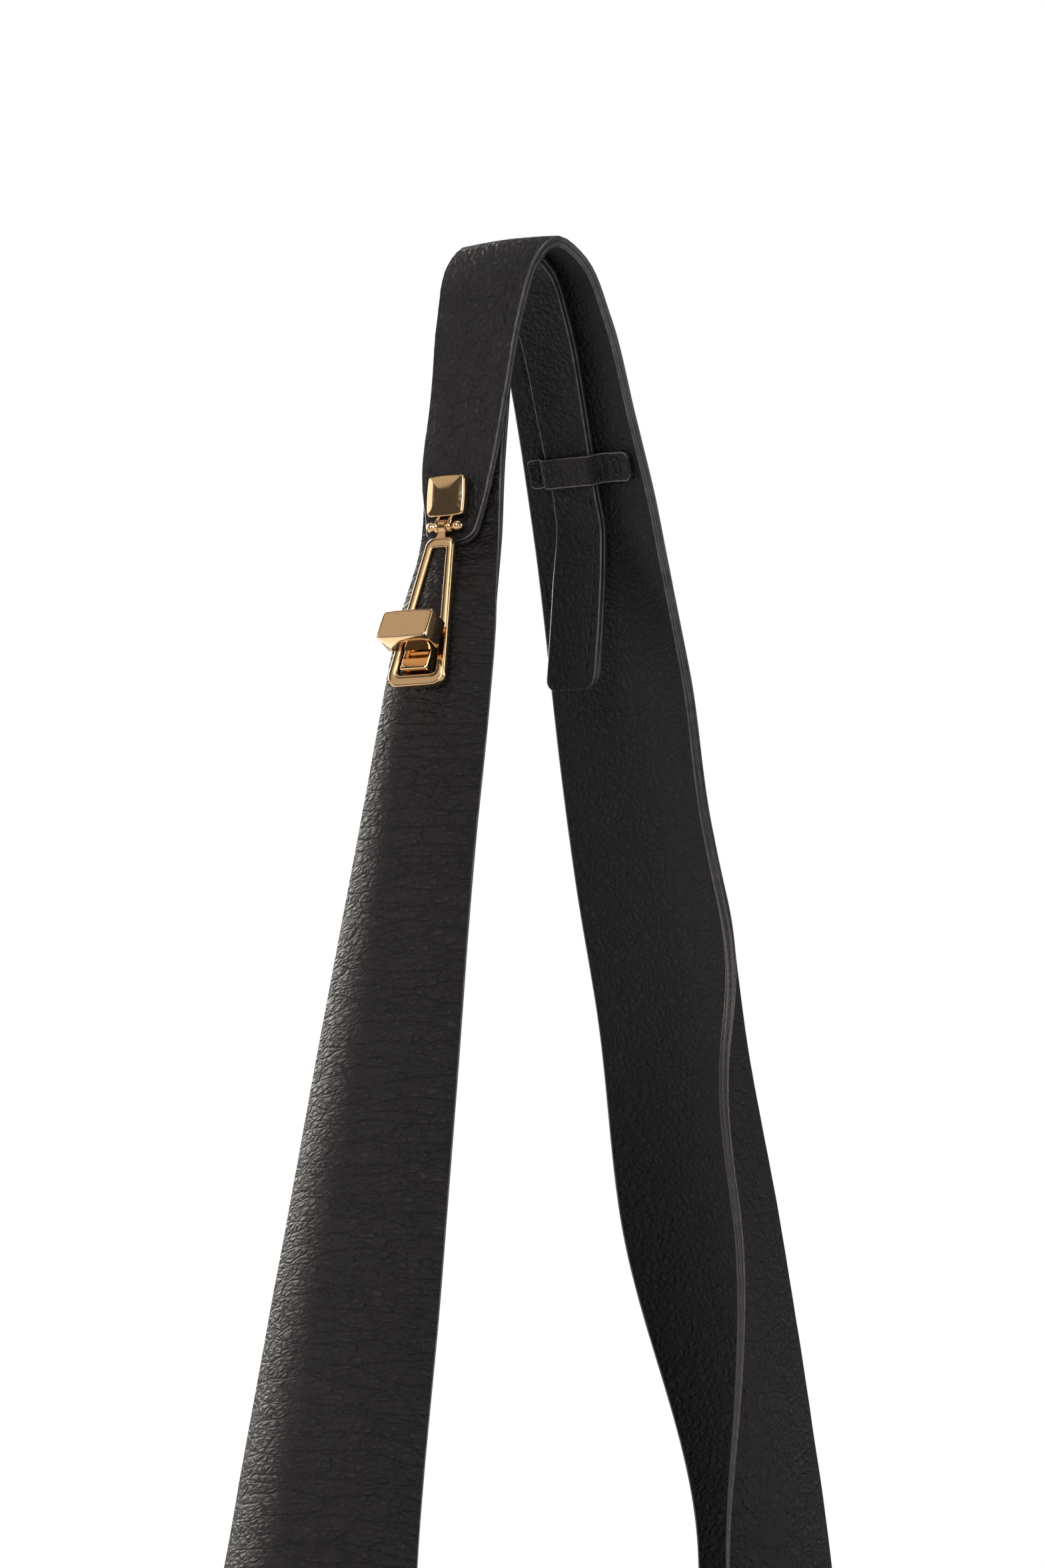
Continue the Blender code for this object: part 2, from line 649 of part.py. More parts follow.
def wedge_mesh(name, frame):
    """Lock base: its outer face square to the lock's axis, its underside lying along the strap."""
    half_width, low_end, high_end = 4.05, -8.0, 7.4
    profile = []
    for along in (low_end, high_end):
        around = [frame.inverted() @ SPINE.point(LOCK_STATION + step / 50.0, 0.0, 0.0) / MM
                  for step in range(-60, 61)]
        strap = min(around, key=lambda point: abs(point.y - along))
        profile.append((along, strap.z + 0.4))
    profile += [(high_end, BASE_FACE), (low_end, BASE_FACE)]
    mesh = prism_mesh(name, profile, -half_width, half_width)
    mesh.transform(Matrix(((0, 0, 1, 0), (1, 0, 0, 0), (0, 1, 0, 0), (0, 0, 0, 1))))
    return mesh


def make_lock(wings):
    """Turn lock on the left wing: base, stem, head, spring, backing, rivets and clip."""
    frame = strap_frame(LOCK_STATION, tilt=LOCK_TILT)
    base = new_object("lock_base", wedge_mesh("lock_base", frame), GOLD, 1.0, 0.25)
    base.matrix_world = frame
    bevel(base, 0.5)
    hole = pin_row("stem_hole", [(0, 0)], STEM_RADIUS + CLEARANCE, -9.0, 6.0, 16)
    stem_hole = guide("stem_hole_guide", hole, frame)
    recess = guide("spring_recess", pin_row("recess", [(0, 0)], 3.0, -3.0, 1.5, 16), frame)
    combine(base, recess, "DIFFERENCE")
    combine(base, stem_hole, "DIFFERENCE")

    spring_mesh = tube_mesh("lock_spring", 2.7, STEM_RADIUS + CLEARANCE, 0.6, 1.2, 16)
    spring = new_object("lock_spring", spring_mesh, STEEL, 1.0, 0.3)
    spring.matrix_world = frame

    width, length, depth = HEAD_SIZE
    head = new_object("lock_head", block_mesh("lock_head", (width, length, depth),
                      (0, 0, HEAD_UNDERSIDE + 0.5 * depth)), GOLD, 1.0, 0.18)
    head.matrix_world = frame
    bevel(head, 0.45)
    pocket = guide("stem_socket", pin_row("socket", [(0, 0)], STEM_RADIUS + CLEARANCE, 1.0,
                   HEAD_UNDERSIDE + 3.3, 16), frame)
    neck = guide("head_neck", block_mesh("head_neck", (6.4, 6.2, 1.8), (0, 0, HEAD_UNDERSIDE - 0.4)), frame)
    combine(head, neck, "UNION")
    combine(head, pocket, "DIFFERENCE")

    tail = UNDER_LINING[0] - 2.5
    stem = new_object("lock_stem", pin_row("lock_stem", [(0, 0)], STEM_RADIUS, tail,
                      HEAD_UNDERSIDE + 3.0, 16), GOLD, 1.0, 0.25)
    stem.matrix_world = frame
    places = [(0.0, -5.4), (0.0, 5.4)]
    skin = strap_frame(LOCK_STATION)
    backing = new_object("lock_backing", block_mesh("lock_backing", (7.6, 14.0, 0.8),
                         (0, 0, UNDER_LINING[0] - 1.05)), STEEL, 1.0, 0.35)
    backing.matrix_world = skin
    for name, place in (("lock_rivet_lower", places[0]), ("lock_rivet_upper", places[1])):
        pin = pin_row(name, [place], RIVET_RADIUS, UNDER_LINING[0] - 1.35, -0.2)
        rivet = new_object(name, pin, GOLD, 1.0, 0.3)
        rivet.matrix_world = skin
    hole_radius = RIVET_RADIUS + CLEARANCE
    holes = guide("lock_rivet_holes", pin_row("rivet_holes", places, hole_radius, -6.0, 0.3), skin)
    for target in (wings["left_wing"], wings["left_wing_lining"], backing):
        combine(target, holes, "DIFFERENCE")
        combine(target, stem_hole, "DIFFERENCE")
    clip = new_object("stem_clip", tube_mesh("stem_clip", 2.9, STEM_RADIUS + 0.3, UNDER_LINING[0] - 2.85,
                      UNDER_LINING[0] - 2.15, 16), STEEL, 1.0, 0.3)
    clip.matrix_world = frame
    return frame


def main():
    """Clear the scene and build every piece."""
    for obj in list(bpy.data.objects):
        bpy.data.objects.remove(obj)
    wings = make_wings()
    for name, side, layer, color in (
        ("front_panel", -1, UNDER_LEATHER, LEATHER),
        ("front_lining", -1, UNDER_LINING, LINING),
        ("back_panel", 1, UNDER_LEATHER, LEATHER),
        ("back_lining", 1, UNDER_LINING, LINING),
    ):
        make_panel(name, side, layer, color)
    make_base()
    make_keeper()
    make_hasp(wings)
    make_lock(wings)


main()
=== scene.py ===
"""Looks of the leather shoulder bag: leather, gold hardware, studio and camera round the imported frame."""
import math

import bmesh
import bpy
import numpy as np
from mathutils import Matrix, Vector, noise


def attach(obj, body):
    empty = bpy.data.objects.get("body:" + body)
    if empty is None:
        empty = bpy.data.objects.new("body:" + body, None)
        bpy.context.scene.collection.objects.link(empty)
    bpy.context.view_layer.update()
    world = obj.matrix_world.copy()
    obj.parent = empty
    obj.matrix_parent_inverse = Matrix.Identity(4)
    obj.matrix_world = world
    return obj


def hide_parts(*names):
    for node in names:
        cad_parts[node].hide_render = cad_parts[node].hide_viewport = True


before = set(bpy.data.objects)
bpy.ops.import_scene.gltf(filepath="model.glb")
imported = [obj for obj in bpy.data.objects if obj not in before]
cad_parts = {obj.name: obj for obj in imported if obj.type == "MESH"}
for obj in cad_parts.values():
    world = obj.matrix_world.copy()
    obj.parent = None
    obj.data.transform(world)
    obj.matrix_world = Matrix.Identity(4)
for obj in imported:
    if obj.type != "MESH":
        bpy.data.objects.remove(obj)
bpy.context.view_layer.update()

MM = 0.001
CREST_HEIGHT = 600.0        # top of the strap above the ground, in millimetres

# ---------------------------------------------------------------- the strap's own shape, in millimetres
# Each row: x, z below the crest, curl of the front and back halves in degrees per millimetre,
# half-widths of the under-strap (left wing) and of the over-strap (right wing), front then back.
LEFT_SIDE = (
    (-148.0, -597.0, 1.04, 1.04, 86.0, 86.0, 0.0, 0.0),
    (-147.0, -540.0, 1.06, 1.06, 84.0, 84.0, 0.0, 0.0),
    (-139.0, -470.0, 1.20, 1.20, 74.0, 74.0, 0.0, 0.0),
    (-121.0, -400.0, 1.45, 1.40, 50.0, 50.0, 0.0, 0.0),
    (-98.0, -338.0, 1.75, 1.60, 34.5, 35.5, 0.0, 0.0),
    (-75.5, -263.0, 1.60, 1.50, 27.2, 26.4, 0.0, 0.0),
    (-61.8, -212.0, 1.65, 1.60, 23.2, 24.0, 0.0, 0.0),
    (-49.0, -161.0, 1.75, 1.75, 19.6, 19.5, 0.0, 0.0),
    (-41.4, -121.0, 2.20, 2.20, 19.0, 14.6, 0.0, 0.0),
    (-35.5, -101.0, 2.20, 2.20, 17.2, 13.4, 0.0, 0.0),
    (-24.7, -79.0, 1.50, 1.50, 12.0, 12.8, 7.0, 7.0),
    (-22.8, -64.0, 1.20, 1.20, 11.4, 12.4, 10.0, 10.0),
    (-17.5, -43.0, 0.90, 0.90, 9.6, 11.4, 11.1, 11.1),
    (-12.8, -22.5, 0.60, 0.60, 8.2, 9.8, 12.4, 12.4),
    (-7.4, -9.1, 0.40, 0.40, 7.0, 9.0, 13.6, 13.6),
)
RIGHT_SIDE = (
    (0.8, -3.4, 0.40, 0.40, 6.8, 9.2, 14.0, 14.0),
    (9.6, -6.8, 0.50, 0.50, 6.8, 9.2, 15.4, 14.8),
    (18.6, -20.0, 0.70, 0.70, 6.6, 9.2, 17.0, 16.0),
    (27.6, -44.0, 0.80, 0.80, 6.0, 8.8, 18.8, 16.2),
    (33.6, -62.0, 0.80, 0.80, 5.4, 8.2, 20.6, 16.8),
    (39.6, -82.0, 0.80, 0.80, 6.4, 9.2, 21.8, 17.4),
    (45.4, -101.5, 0.90, 0.80, 6.6, 9.2, 23.4, 18.4),
    (47.4, -108.2, 0.95, 0.80, 4.4, 7.0, 24.0, 18.8),
    (63.5, -161.0, 1.50, 0.75, 0.0, 0.0, 29.0, 21.2),
    (75.0, -195.0, 1.75, 0.70, 0.0, 0.0, 49.0, 22.0),
    (91.5, -246.0, 1.70, 1.20, 0.0, 0.0, 60.0, 24.4),
    (120.5, -338.0, 1.90, 1.60, 0.0, 0.0, 72.0, 18.8),
    (128.5, -400.0, 1.60, 1.60, 0.0, 0.0, 72.0, 28.0),
    (136.5, -470.0, 1.20, 1.20, 0.0, 0.0, 75.0, 66.0),
    (143.6, -540.0, 1.06, 1.06, 0.0, 0.0, 84.0, 84.0),
    (144.6, -597.0, 1.04, 1.04, 0.0, 0.0, 86.0, 86.0),
)
STATIONS = LEFT_SIDE + RIGHT_SIDE
LAST = len(STATIONS) - 1.0
UNDER, OVER = 4, 6           # columns of the half-widths
TAB_END = 9.85               # station where the over-strap's tab ends
TONGUE_TIP = 22.0
TONGUE_FREE = 19.4
TONGUE_HANG = 15.5
TONGUE_SKEW = 0.5
KEEPER_STATION = 18.66
PLATE_STATION = 10.585
PIN_STATION = 10.0
LOCK_STATION = 8.62
LOCK_TILT = -11.0
LOOP_REST = 1.35
MOUTH_STATION = 3.0
OVER_SKIN = 3.4              # outer face of the over-strap above the surface where the straps touch


class Section:
    """Cross-section plane at one station of the spine."""

    def __init__(self, spine, station):
        here = spine.values(station)[0]
        run = spine.values(station + 0.02)[0][:2] - spine.values(station - 0.02)[0][:2]
        normal = np.array((-run[1], run[0])) / np.hypot(run[0], run[1])
        if station < 0.5 or station > LAST - 0.5:
            normal = np.array((-1.0 if station < 1.0 else 1.0, 0.0))
        self.station = station
        self.centre, self.normal = here[:2], normal
        self.front, self.back = math.radians(here[2]), math.radians(here[3])

    def point(self, across, offset):
        """World point at a distance across the strip (front negative) and outwards."""
        curl = max(self.front if across < 0.0 else self.back, 1e-5)
        angle = curl * abs(across)
        radius = 1.0 / curl + offset
        inward = 1.0 / curl - radius * math.cos(angle)
        side = math.copysign(radius * math.sin(angle), across)
        x = self.centre[0] - self.normal[0] * inward
        z = self.centre[1] - self.normal[1] * inward
        return Vector((x, side, z + CREST_HEIGHT)) * MM


class Spine:
    """Smooth curve through the stations."""

    def __init__(self, rows):
        self.table = np.array(rows, dtype=float)
        steps = np.hypot(np.diff(self.table[:, 0]), np.diff(self.table[:, 1]))
        self.lengths = np.concatenate(([0.0], np.cumsum(steps)))
        self.slopes = np.gradient(self.table, self.lengths, axis=0)

    def values(self, station):
        """Cubic Hermite blend of every column at a station number, and the straight blend."""
        low = int(min(max(math.floor(station), 0), len(self.table) - 2))
        t = station - low
        span = self.lengths[low + 1] - self.lengths[low]
        a, b = self.table[low], self.table[low + 1]
        ma, mb = self.slopes[low] * span, self.slopes[low + 1] * span
        cubic = ((2 * t**3 - 3 * t**2 + 1) * a + (t**3 - 2 * t**2 + t) * ma
                 + (3 * t**2 - 2 * t**3) * b + (t**3 - t**2) * mb)
        return cubic, a + (b - a) * t

    def widths(self, station, column):
        """Front and back half-widths of a strip."""
        smooth, plain = self.values(station)
        use = plain if min(plain[column], plain[column + 1]) < 8.5 else smooth
        return use[column], use[column + 1]

    def length(self, station):
        """Distance along the spine in millimetres."""
        return float(np.interp(station, np.arange(len(self.lengths)), self.lengths))

    def station(self, length):
        return float(np.interp(length, self.lengths, np.arange(len(self.lengths))))


SPINE = Spine(STATIONS)


# ---------------------------------------------------------------- materials
class Tree:
    """Small helper round one material's nodes."""

    def __init__(self, name):
        self.material = bpy.data.materials.new(name)
        self.material.use_nodes = True
        self.nodes = self.material.node_tree.nodes
        self.links = self.material.node_tree.links
        self.shader = self.nodes["Principled BSDF"]

    def add(self, kind, inputs=None, **settings):
        """A node with its settings and inputs: a link where the value is a socket."""
        node = self.nodes.new("ShaderNode" + kind)
        for key, value in settings.items():
            setattr(node, key, value)
        for key, value in (inputs or {}).items():
            self.feed(node.inputs[key], value)
        return node

    def feed(self, socket, value):
        if isinstance(value, bpy.types.NodeSocket):
            self.links.new(value, socket)
        else:
            socket.default_value = value

    def math(self, operation, a, b=0.0, clamp=False):
        node = self.add("Math", {0: a, 1: b}, operation=operation)
        node.use_clamp = clamp
        return node.outputs[0]

    def span(self, value, low, high, to_low=0.0, to_high=1.0, smooth=False):
        """Map a value from one range to another, clamped."""
        node = self.add("MapRange", {"Value": value, "From Min": low, "From Max": high,
                                     "To Min": to_low, "To Max": to_high})
        node.interpolation_type = "SMOOTHSTEP" if smooth else "LINEAR"
        return node.outputs["Result"]

    def blend_color(self, factor, a, b):
        node = self.add("Mix", data_type="RGBA")
        self.feed(node.inputs["Factor"], factor)
        self.feed(node.inputs["A"], a)
        self.feed(node.inputs["B"], b)
        return node.outputs["Result"]

    def set(self, **values):
        for key, value in values.items():
            self.feed(self.shader.inputs[key.replace("_", " ")], value)


def leather(name, color, light, stretch=(1.0, 1.0), cell=1.5, depth=0.5, rough=(0.36, 0.56), crease=0.5,
            coat=0.0, sheen=0.0):
    """Pebbled leather, in millimetres: domed cells, fine valleys, longer creases, pores and worn tones."""
    tree = Tree(name)
    uv = tree.add("UVMap", uv_map="grain").outputs["UV"]
    place = tree.add("Mapping", {"Vector": uv, "Scale": (stretch[0], stretch[1], 1.0)}).outputs["Vector"]
    warp = tree.add("TexNoise", {"Vector": place, "Scale": 0.35, "Detail": 3.0})
    push = tree.add("VectorMath", {0: warp.outputs["Color"], 1: (0.5, 0.5, 0.5)}, operation="SUBTRACT")
    push = tree.add("VectorMath", {0: push.outputs[0], "Scale": 1.6}, operation="SCALE")
    bent = tree.add("VectorMath", {0: place, 1: push.outputs[0]}, operation="ADD").outputs[0]

    def cells(size, vector):
        node = tree.add("TexVoronoi", {"Vector": vector, "Scale": 1.0 / size}, feature="DISTANCE_TO_EDGE")
        return node.outputs["Distance"]

    pebbles = tree.span(cells(cell, bent), 0.0, 0.34, smooth=True)
    small = tree.span(cells(cell * 0.52, bent), 0.0, 0.28, smooth=True)
    long_place = tree.add("Mapping", {"Vector": bent, "Scale": (0.55, 1.0, 1.0)}).outputs["Vector"]
    folds = tree.span(cells(cell * 2.7, long_place), 0.0, 0.09, smooth=True)
    pores = tree.add("TexNoise", {"Vector": uv, "Scale": 5.5, "Detail": 4.0, "Roughness": 0.7}).outputs["Fac"]
    swell = tree.add("TexNoise", {"Vector": uv, "Scale": 0.14, "Detail": 3.0}).outputs["Fac"]
    height = tree.math("MULTIPLY", pebbles, 0.6)
    for layer, weight in ((small, 0.15), (folds, crease), (pores, 0.16), (swell, 0.5)):
        height = tree.math("ADD", height, tree.math("MULTIPLY", layer, weight))
    bump = tree.add("Bump", {"Height": height, "Distance": depth * MM})
    tops = tree.math("MULTIPLY", pebbles, folds)
    wear = tree.span(swell, 0.35, 0.7, 0.0, 0.6)
    tone = tree.math("MULTIPLY", tops, wear)
    shade = tree.blend_color(tone, (*color, 1.0), (*light, 1.0))
    gloss = tree.span(tree.math("ADD", tree.math("MULTIPLY", tops, 0.6), tree.math("MULTIPLY", pores, 0.4)),
                      0.0, 1.0, rough[1], rough[0])
    tree.set(Base_Color=shade, Roughness=gloss, Normal=bump.outputs["Normal"])
    tree.set(Specular_IOR_Level=0.32, Coat_Weight=coat, Coat_Roughness=0.35, Sheen_Weight=sheen,
             Sheen_Roughness=0.4)
    return tree.material


def paint(name, color, rough):
    """Edge paint: smooth with faint runs along the cut edge."""
    tree = Tree(name)
    uv = tree.add("UVMap", uv_map="grain").outputs["UV"]
    runs = tree.add("Mapping", {"Vector": uv, "Scale": (2.0, 0.25, 1.0)}).outputs["Vector"]
    streaks = tree.add("TexNoise", {"Vector": runs, "Scale": 1.2, "Detail": 3.0}).outputs["Fac"]
    bump = tree.add("Bump", {"Height": streaks, "Distance": 0.05 * MM})
    light = tuple(3.0 * c + 0.01 for c in color)
    shade = tree.blend_color(tree.span(streaks, 0.3, 0.8), (*color, 1.0), (*light, 1.0))
    tree.set(Base_Color=shade, Roughness=tree.span(streaks, 0.3, 0.7, rough - 0.06, rough + 0.1),
             Normal=bump.outputs["Normal"])
    return tree.material


def metal(name, color, rough, brushed=0.0):
    """Polished or brushed plating with faint handling marks and a slight change of tone."""
    tree = Tree(name)
    place = tree.add("TexCoord").outputs["Object"]
    if brushed:
        place = tree.add("Mapping", {"Vector": place, "Scale": (1.0, 12.0, 12.0)}).outputs["Vector"]
    marks = tree.add("TexNoise", {"Vector": place, "Scale": 900.0, "Detail": 4.0,
                                  "Roughness": 0.6}).outputs["Fac"]
    waves = tree.add("TexNoise", {"Vector": place, "Scale": 130.0, "Detail": 1.0}).outputs["Fac"]
    height = tree.math("ADD", tree.math("MULTIPLY", marks, 0.03 + brushed), tree.math("MULTIPLY", waves, 0.6))
    bump = tree.add("Bump", {"Height": height, "Distance": 0.02 * MM})
    dull = tuple(0.9 * c for c in color)
    shade = tree.blend_color(waves, (*color, 1.0), (*dull, 1.0))
    tree.set(Base_Color=shade, Metallic=1.0, Roughness=tree.span(marks, 0.35, 0.7, rough, rough + 0.07),
             Normal=bump.outputs["Normal"])
    return tree.material


def board_fibre(name, color):
    """Pressed fibre board: mottled and matt."""
    tree = Tree(name)
    place = tree.add("TexCoord").outputs["Object"]
    fibres = tree.add("TexNoise", {"Vector": place, "Scale": 600.0, "Detail": 6.0}).outputs["Fac"]
    dark = tuple(0.6 * c for c in color)
    bump = tree.add("Bump", {"Height": fibres, "Distance": 0.15 * MM})
    tree.set(Base_Color=tree.blend_color(fibres, (*dark, 1.0), (*color, 1.0)),
             Roughness=tree.span(fibres, 0.0, 1.0, 0.75, 0.95), Normal=bump.outputs["Normal"])
    return tree.material


def thread(name, color):
    """Waxed thread: twisted strands with a soft shine."""
    tree = Tree(name)
    uv = tree.add("UVMap", uv_map="grain").outputs["UV"]
    strands = tree.add("TexWave", {"Vector": uv, "Scale": 1.4, "Distortion": 0.6}, bands_direction="DIAGONAL")
    bump = tree.add("Bump", {"Height": strands.outputs["Fac"], "Distance": 0.08 * MM})
    light = tuple(2.2 * c for c in color)
    tree.set(Base_Color=tree.blend_color(strands.outputs["Fac"], (*color, 1.0), (*light, 1.0)),
             Roughness=tree.span(strands.outputs["Fac"], 0.0, 1.0, 0.6, 0.42), Normal=bump.outputs["Normal"])
    return tree.material


BLACK = (0.0098, 0.0080, 0.0087)
WORN = (0.030, 0.0245, 0.0275)
MATERIALS = {
    "cross": leather("leather_cross_grain", BLACK, WORN, stretch=(0.52, 1.0), crease=0.55, depth=0.9),
    "long": leather("leather_long_grain", BLACK, WORN, stretch=(1.0, 0.62), crease=0.5, depth=0.65),
    "even": leather("leather_even_grain", BLACK, WORN, crease=0.35),
    "inside": leather("leather_inside", (0.006, 0.0056, 0.0058), (0.012, 0.011, 0.011), cell=1.9, depth=0.42,
                      rough=(0.46, 0.66), crease=0.3),
    "paint": paint("edge_paint", (0.010, 0.0095, 0.0095), 0.34),
    # The lighter paint for the corner faces of the cut edges is a painted highlight: it stands for the thin
    # bright line where light catches the edge corners.
    "rim": paint("rim_painted_highlight", (0.048, 0.044, 0.045), 0.24),
    "thread": thread("waxed_thread", (0.012, 0.012, 0.012)),
    "gold": metal("gold_plating", (0.88, 0.60, 0.34), 0.07),
    "steel": metal("nickel_steel", (0.55, 0.55, 0.57), 0.28, brushed=0.5),
    "board": board_fibre("fibre_board", (0.25, 0.19, 0.12)),
}


# ---------------------------------------------------------------- meshes
def finish_piece(name, mesh, body, nodes, materials, angle=38.0):
    """Link a mesh as a piece that rides on a body and stands for its CAD nodes."""
    for material in materials:
        mesh.materials.append(MATERIALS[material])
    mesh.shade_smooth()
    mesh.set_sharp_from_angle(angle=math.radians(angle))
    piece = bpy.data.objects.new(name, mesh)
    bpy.context.scene.collection.objects.link(piece)
    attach(piece, body)
    if nodes:
        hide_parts(*nodes)
    return piece


def ring_mesh(name, rings, close_ends=True, uv=None, parts=None):
    """Closed skin through rings of as many points; uv and parts give grain places and material numbers."""
    count = len(rings[0])
    vertices = [p for ring in rings for p in ring]
    faces, marks, places = [], [], []
    for r in range(len(rings) - 1):
        for i in range(count):
            j = (i + 1) % count
            a, b = r * count, (r + 1) * count
            faces.append((a + i, a + j, b + j, b + i))
            marks.append(parts[i] if parts else 0)
            if uv:
                far = uv[r][i + 1], uv[r + 1][i + 1]
                places += [uv[r][i], far[0], far[1], uv[r + 1][i]]
    if close_ends:
        for start in (0, (len(rings) - 1) * count):
            faces.append(tuple(range(start, start + count)))
            marks.append(1 if parts else 0)
            if uv:
                row = uv[0] if start == 0 else uv[-1]
                places += list(row[:count])
    mesh = bpy.data.meshes.new(name)
    mesh.from_pydata(vertices, [], faces)
    mesh.polygons.foreach_set("material_index", marks)
    if uv:
        layer = mesh.uv_layers.new(name="grain")
        flat = np.array(places, dtype=np.float32).reshape(-1)
        layer.data.foreach_set("uv", flat)
    bm = bmesh.new()
    bm.from_mesh(mesh)
    bmesh.ops.recalc_face_normals(bm, faces=bm.faces)
    bm.to_mesh(mesh)
    bm.free()
    return mesh


def round_off(distance, radius):
    """How far a rounded corner of that radius has pulled in at a distance from the end."""
    if distance >= radius:
        return 0.0
    return radius - math.sqrt(max(radius**2 - (radius - distance) ** 2, 0.0))


def edge_path(low, high, radius, steps=3):
    """(pull-in, offset) from the outer face round the cut edge to the inner face."""
    path = []
    for k in range(steps + 1):
        turn = 0.5 * math.pi * k / steps
        path.append((radius * (1.0 - math.sin(turn)), high - radius * (1.0 - math.cos(turn))))
    path.append((0.0, 0.5 * (low + high)))
    for k in range(steps + 1):
        turn = 0.5 * math.pi * (1.0 - k / steps)
        path.append((radius * (1.0 - math.sin(turn)), low + radius * (1.0 - math.cos(turn))))
    return path


def lengths_between(start, end, step, fine_start=False, fine_end=False):
    """Distances along the spine, closely spaced towards a shaped end."""
    ends = [0.0, 0.05, 0.13, 0.24, 0.36, 0.6, 1.0, 1.6, 2.3, 3.1]
    count = int(math.ceil((end - start) / step))
    values = set(np.linspace(start, end, count + 1))
    if fine_start:
        values = {v for v in values if v > start + 3.5} | {start + d for d in ends}
    if fine_end:
        values = {v for v in values if v < end - 3.5} | {end - d for d in ends}
    return sorted(values)


def strip_widths(station, column):
    """Half-widths of a strip, with the tongue kept full to its rounded tip."""
    if column == UNDER and station > 20.5:
        station = 20.5
    return SPINE.widths(station, column)


def strip(name, start, end, column, layer, nodes, materials, columns=44, step=2.4, corner=(0.0, 0.0),
          wave=0.0, hang=None, seed=0.0):
    """Strip of leather along the spine: outer face, painted cut edges, inner face and shaped ends.

    corner gives the plan radius of the first and last ends, 0 where the end is a straight seam."""
    low, high = layer
    radius = min(0.42, 0.34 * (high - low))
    edge = edge_path(low, high, radius)
    first, final = SPINE.length(start), SPINE.length(end)
    rings, places = [], []
    faces = columns + 1
    # The corner faces of each cut edge take the lighter rim paint, a painted highlight along the edge
    # corners.
    rim = [3, 3, 3] + [1] * (len(edge) - 5) + [3, 3, 3]
    parts = [0] * (faces - 1) + rim + [2] * (faces - 1) + rim
    for length in lengths_between(first, final, step, corner[0] > 0.0, corner[1] > 0.0):
        station = SPINE.station(length)
        section = Section(SPINE, station)
        front, back = strip_widths(station, column)
        pull = thin = 0.0
        for distance, plan in ((length - first, corner[0]), (final - length, corner[1])):
            if plan:
                pull = max(pull, round_off(distance, plan))
                thin = max(thin, round_off(distance, 0.9 * radius))
        front, back = front - pull, back - pull
        away = hang(station) if hang else 0.0
        skew = away * TONGUE_SKEW / TONGUE_HANG

        def at(across, offset):
            middle = 0.5 * (low + high)
            offset = middle + (offset - middle) * (1.0 - thin / (0.5 * (high - low)))
            if wave:
                place = Vector((length * 0.035 + seed, across * 0.05, seed))
                offset += wave * noise.noise(place) + 0.35 * wave * noise.noise(place * 3.7)
            bend = section.front if across + skew < 0.0 else section.back
            return section.point((across + skew) / (1.0 - away * bend), offset - away)

        shares = [math.sin(0.5 * math.pi * (-1.0 + 2.0 * c / columns) * 0.86) / math.sin(0.43 * math.pi)
                  for c in range(faces)]
        ring, spots = [], []
        flat = [(-(front - radius) if s < 0 else (back - radius)) * abs(s) for s in shares]
        for across in flat:
            ring.append(at(across, high))
            spots.append((across, length))
        for inward, offset in edge:
            ring.append(at(back - inward, offset))
            spots.append((back - inward + (high - offset), length))
        for across in reversed(flat):
            ring.append(at(across, low))
            spots.append((across + 400.0, length))
        for inward, offset in reversed(edge):
            ring.append(at(-(front - inward), offset))
            spots.append((-(front - inward) - (high - offset), length))
        spots.append(spots[0])
        rings.append(ring)
        places.append(spots)
    mesh = ring_mesh(name, rings, uv=places, parts=parts)
    return finish_piece(name, mesh, "bag", nodes, materials)


def tongue_hang(station):
    """How far the free end of the tongue stands off the strap."""
    free, tip = SPINE.length(TONGUE_FREE), SPINE.length(TONGUE_TIP)
    share = max(SPINE.length(station) - free, 0.0) / (tip - free)
    return TONGUE_HANG * share**1.1


def make_wings():
    """The two wings and their linings, each from the base up into the strap."""
    strip("left_wing_leather", 0.0, TONGUE_TIP, UNDER, (-1.45, 0.0), ["left_wing"],
          ("cross", "paint", "inside", "rim"), corner=(0.0, 3.2), hang=tongue_hang, wave=0.16, seed=3.0)
    strip("left_wing_inside", 0.0, TONGUE_TIP, UNDER, (-2.9, -1.47), ["left_wing_lining"],
          ("inside", "paint", "inside", "rim"), corner=(0.0, 3.2), hang=tongue_hang, wave=0.16, seed=3.0)
    strip("right_wing_leather", TAB_END, LAST, OVER, (1.97, 3.4), ["right_wing"],
          ("long", "paint", "inside", "rim"), corner=(3.4, 0.0), wave=0.16, seed=11.0)
    strip("right_wing_inside", TAB_END, LAST, OVER, (0.5, 1.95), ["right_wing_lining"],
          ("inside", "paint", "inside", "rim"), corner=(3.4, 0.0), wave=0.16, seed=11.0)


def smooth_step(value):
    value = min(max(value, 0.0), 1.0)
    return value * value * (3.0 - 2.0 * value)


def stitch(start, end, up, radius=0.24):
    """One raised stitch whose ends dive into the leather."""
    along = end - start
    side = along.cross(up).normalized()
    rings, places = [], []
    for share, size, rise in ((0.0, 0.35, -0.12), (0.1, 0.8, 0.0), (0.3, 1.0, 0.08), (0.5, 1.0, 0.1),
                              (0.7, 1.0, 0.08), (0.9, 0.8, 0.0), (1.0, 0.35, -0.12)):
        middle = start + along * share + up * rise * MM
        turns = [2.0 * math.pi * k / 8 for k in range(9)]
        rings.append([middle + (side * math.cos(t) + up * 0.8 * math.sin(t)) * radius * size * MM
                      for t in turns[:-1]])
        places.append([(share * along.length / MM, radius * t) for t in turns])
    return ring_mesh("stitch", rings, uv=places)


def stitch_row(name, points, ups, nodes=(), body="bag"):
    """Threads between successive pairs of points, as one piece."""
    bm = bmesh.new()
    for start, end, up in zip(points[::2], points[1::2], ups[::2]):
        part = stitch(start, end, up)
        bm.from_mesh(part)
        bpy.data.meshes.remove(part)
    mesh = bpy.data.meshes.new(name)
    bm.to_mesh(mesh)
    bm.free()
    finish_piece(name, mesh, body, list(nodes), ("thread",))


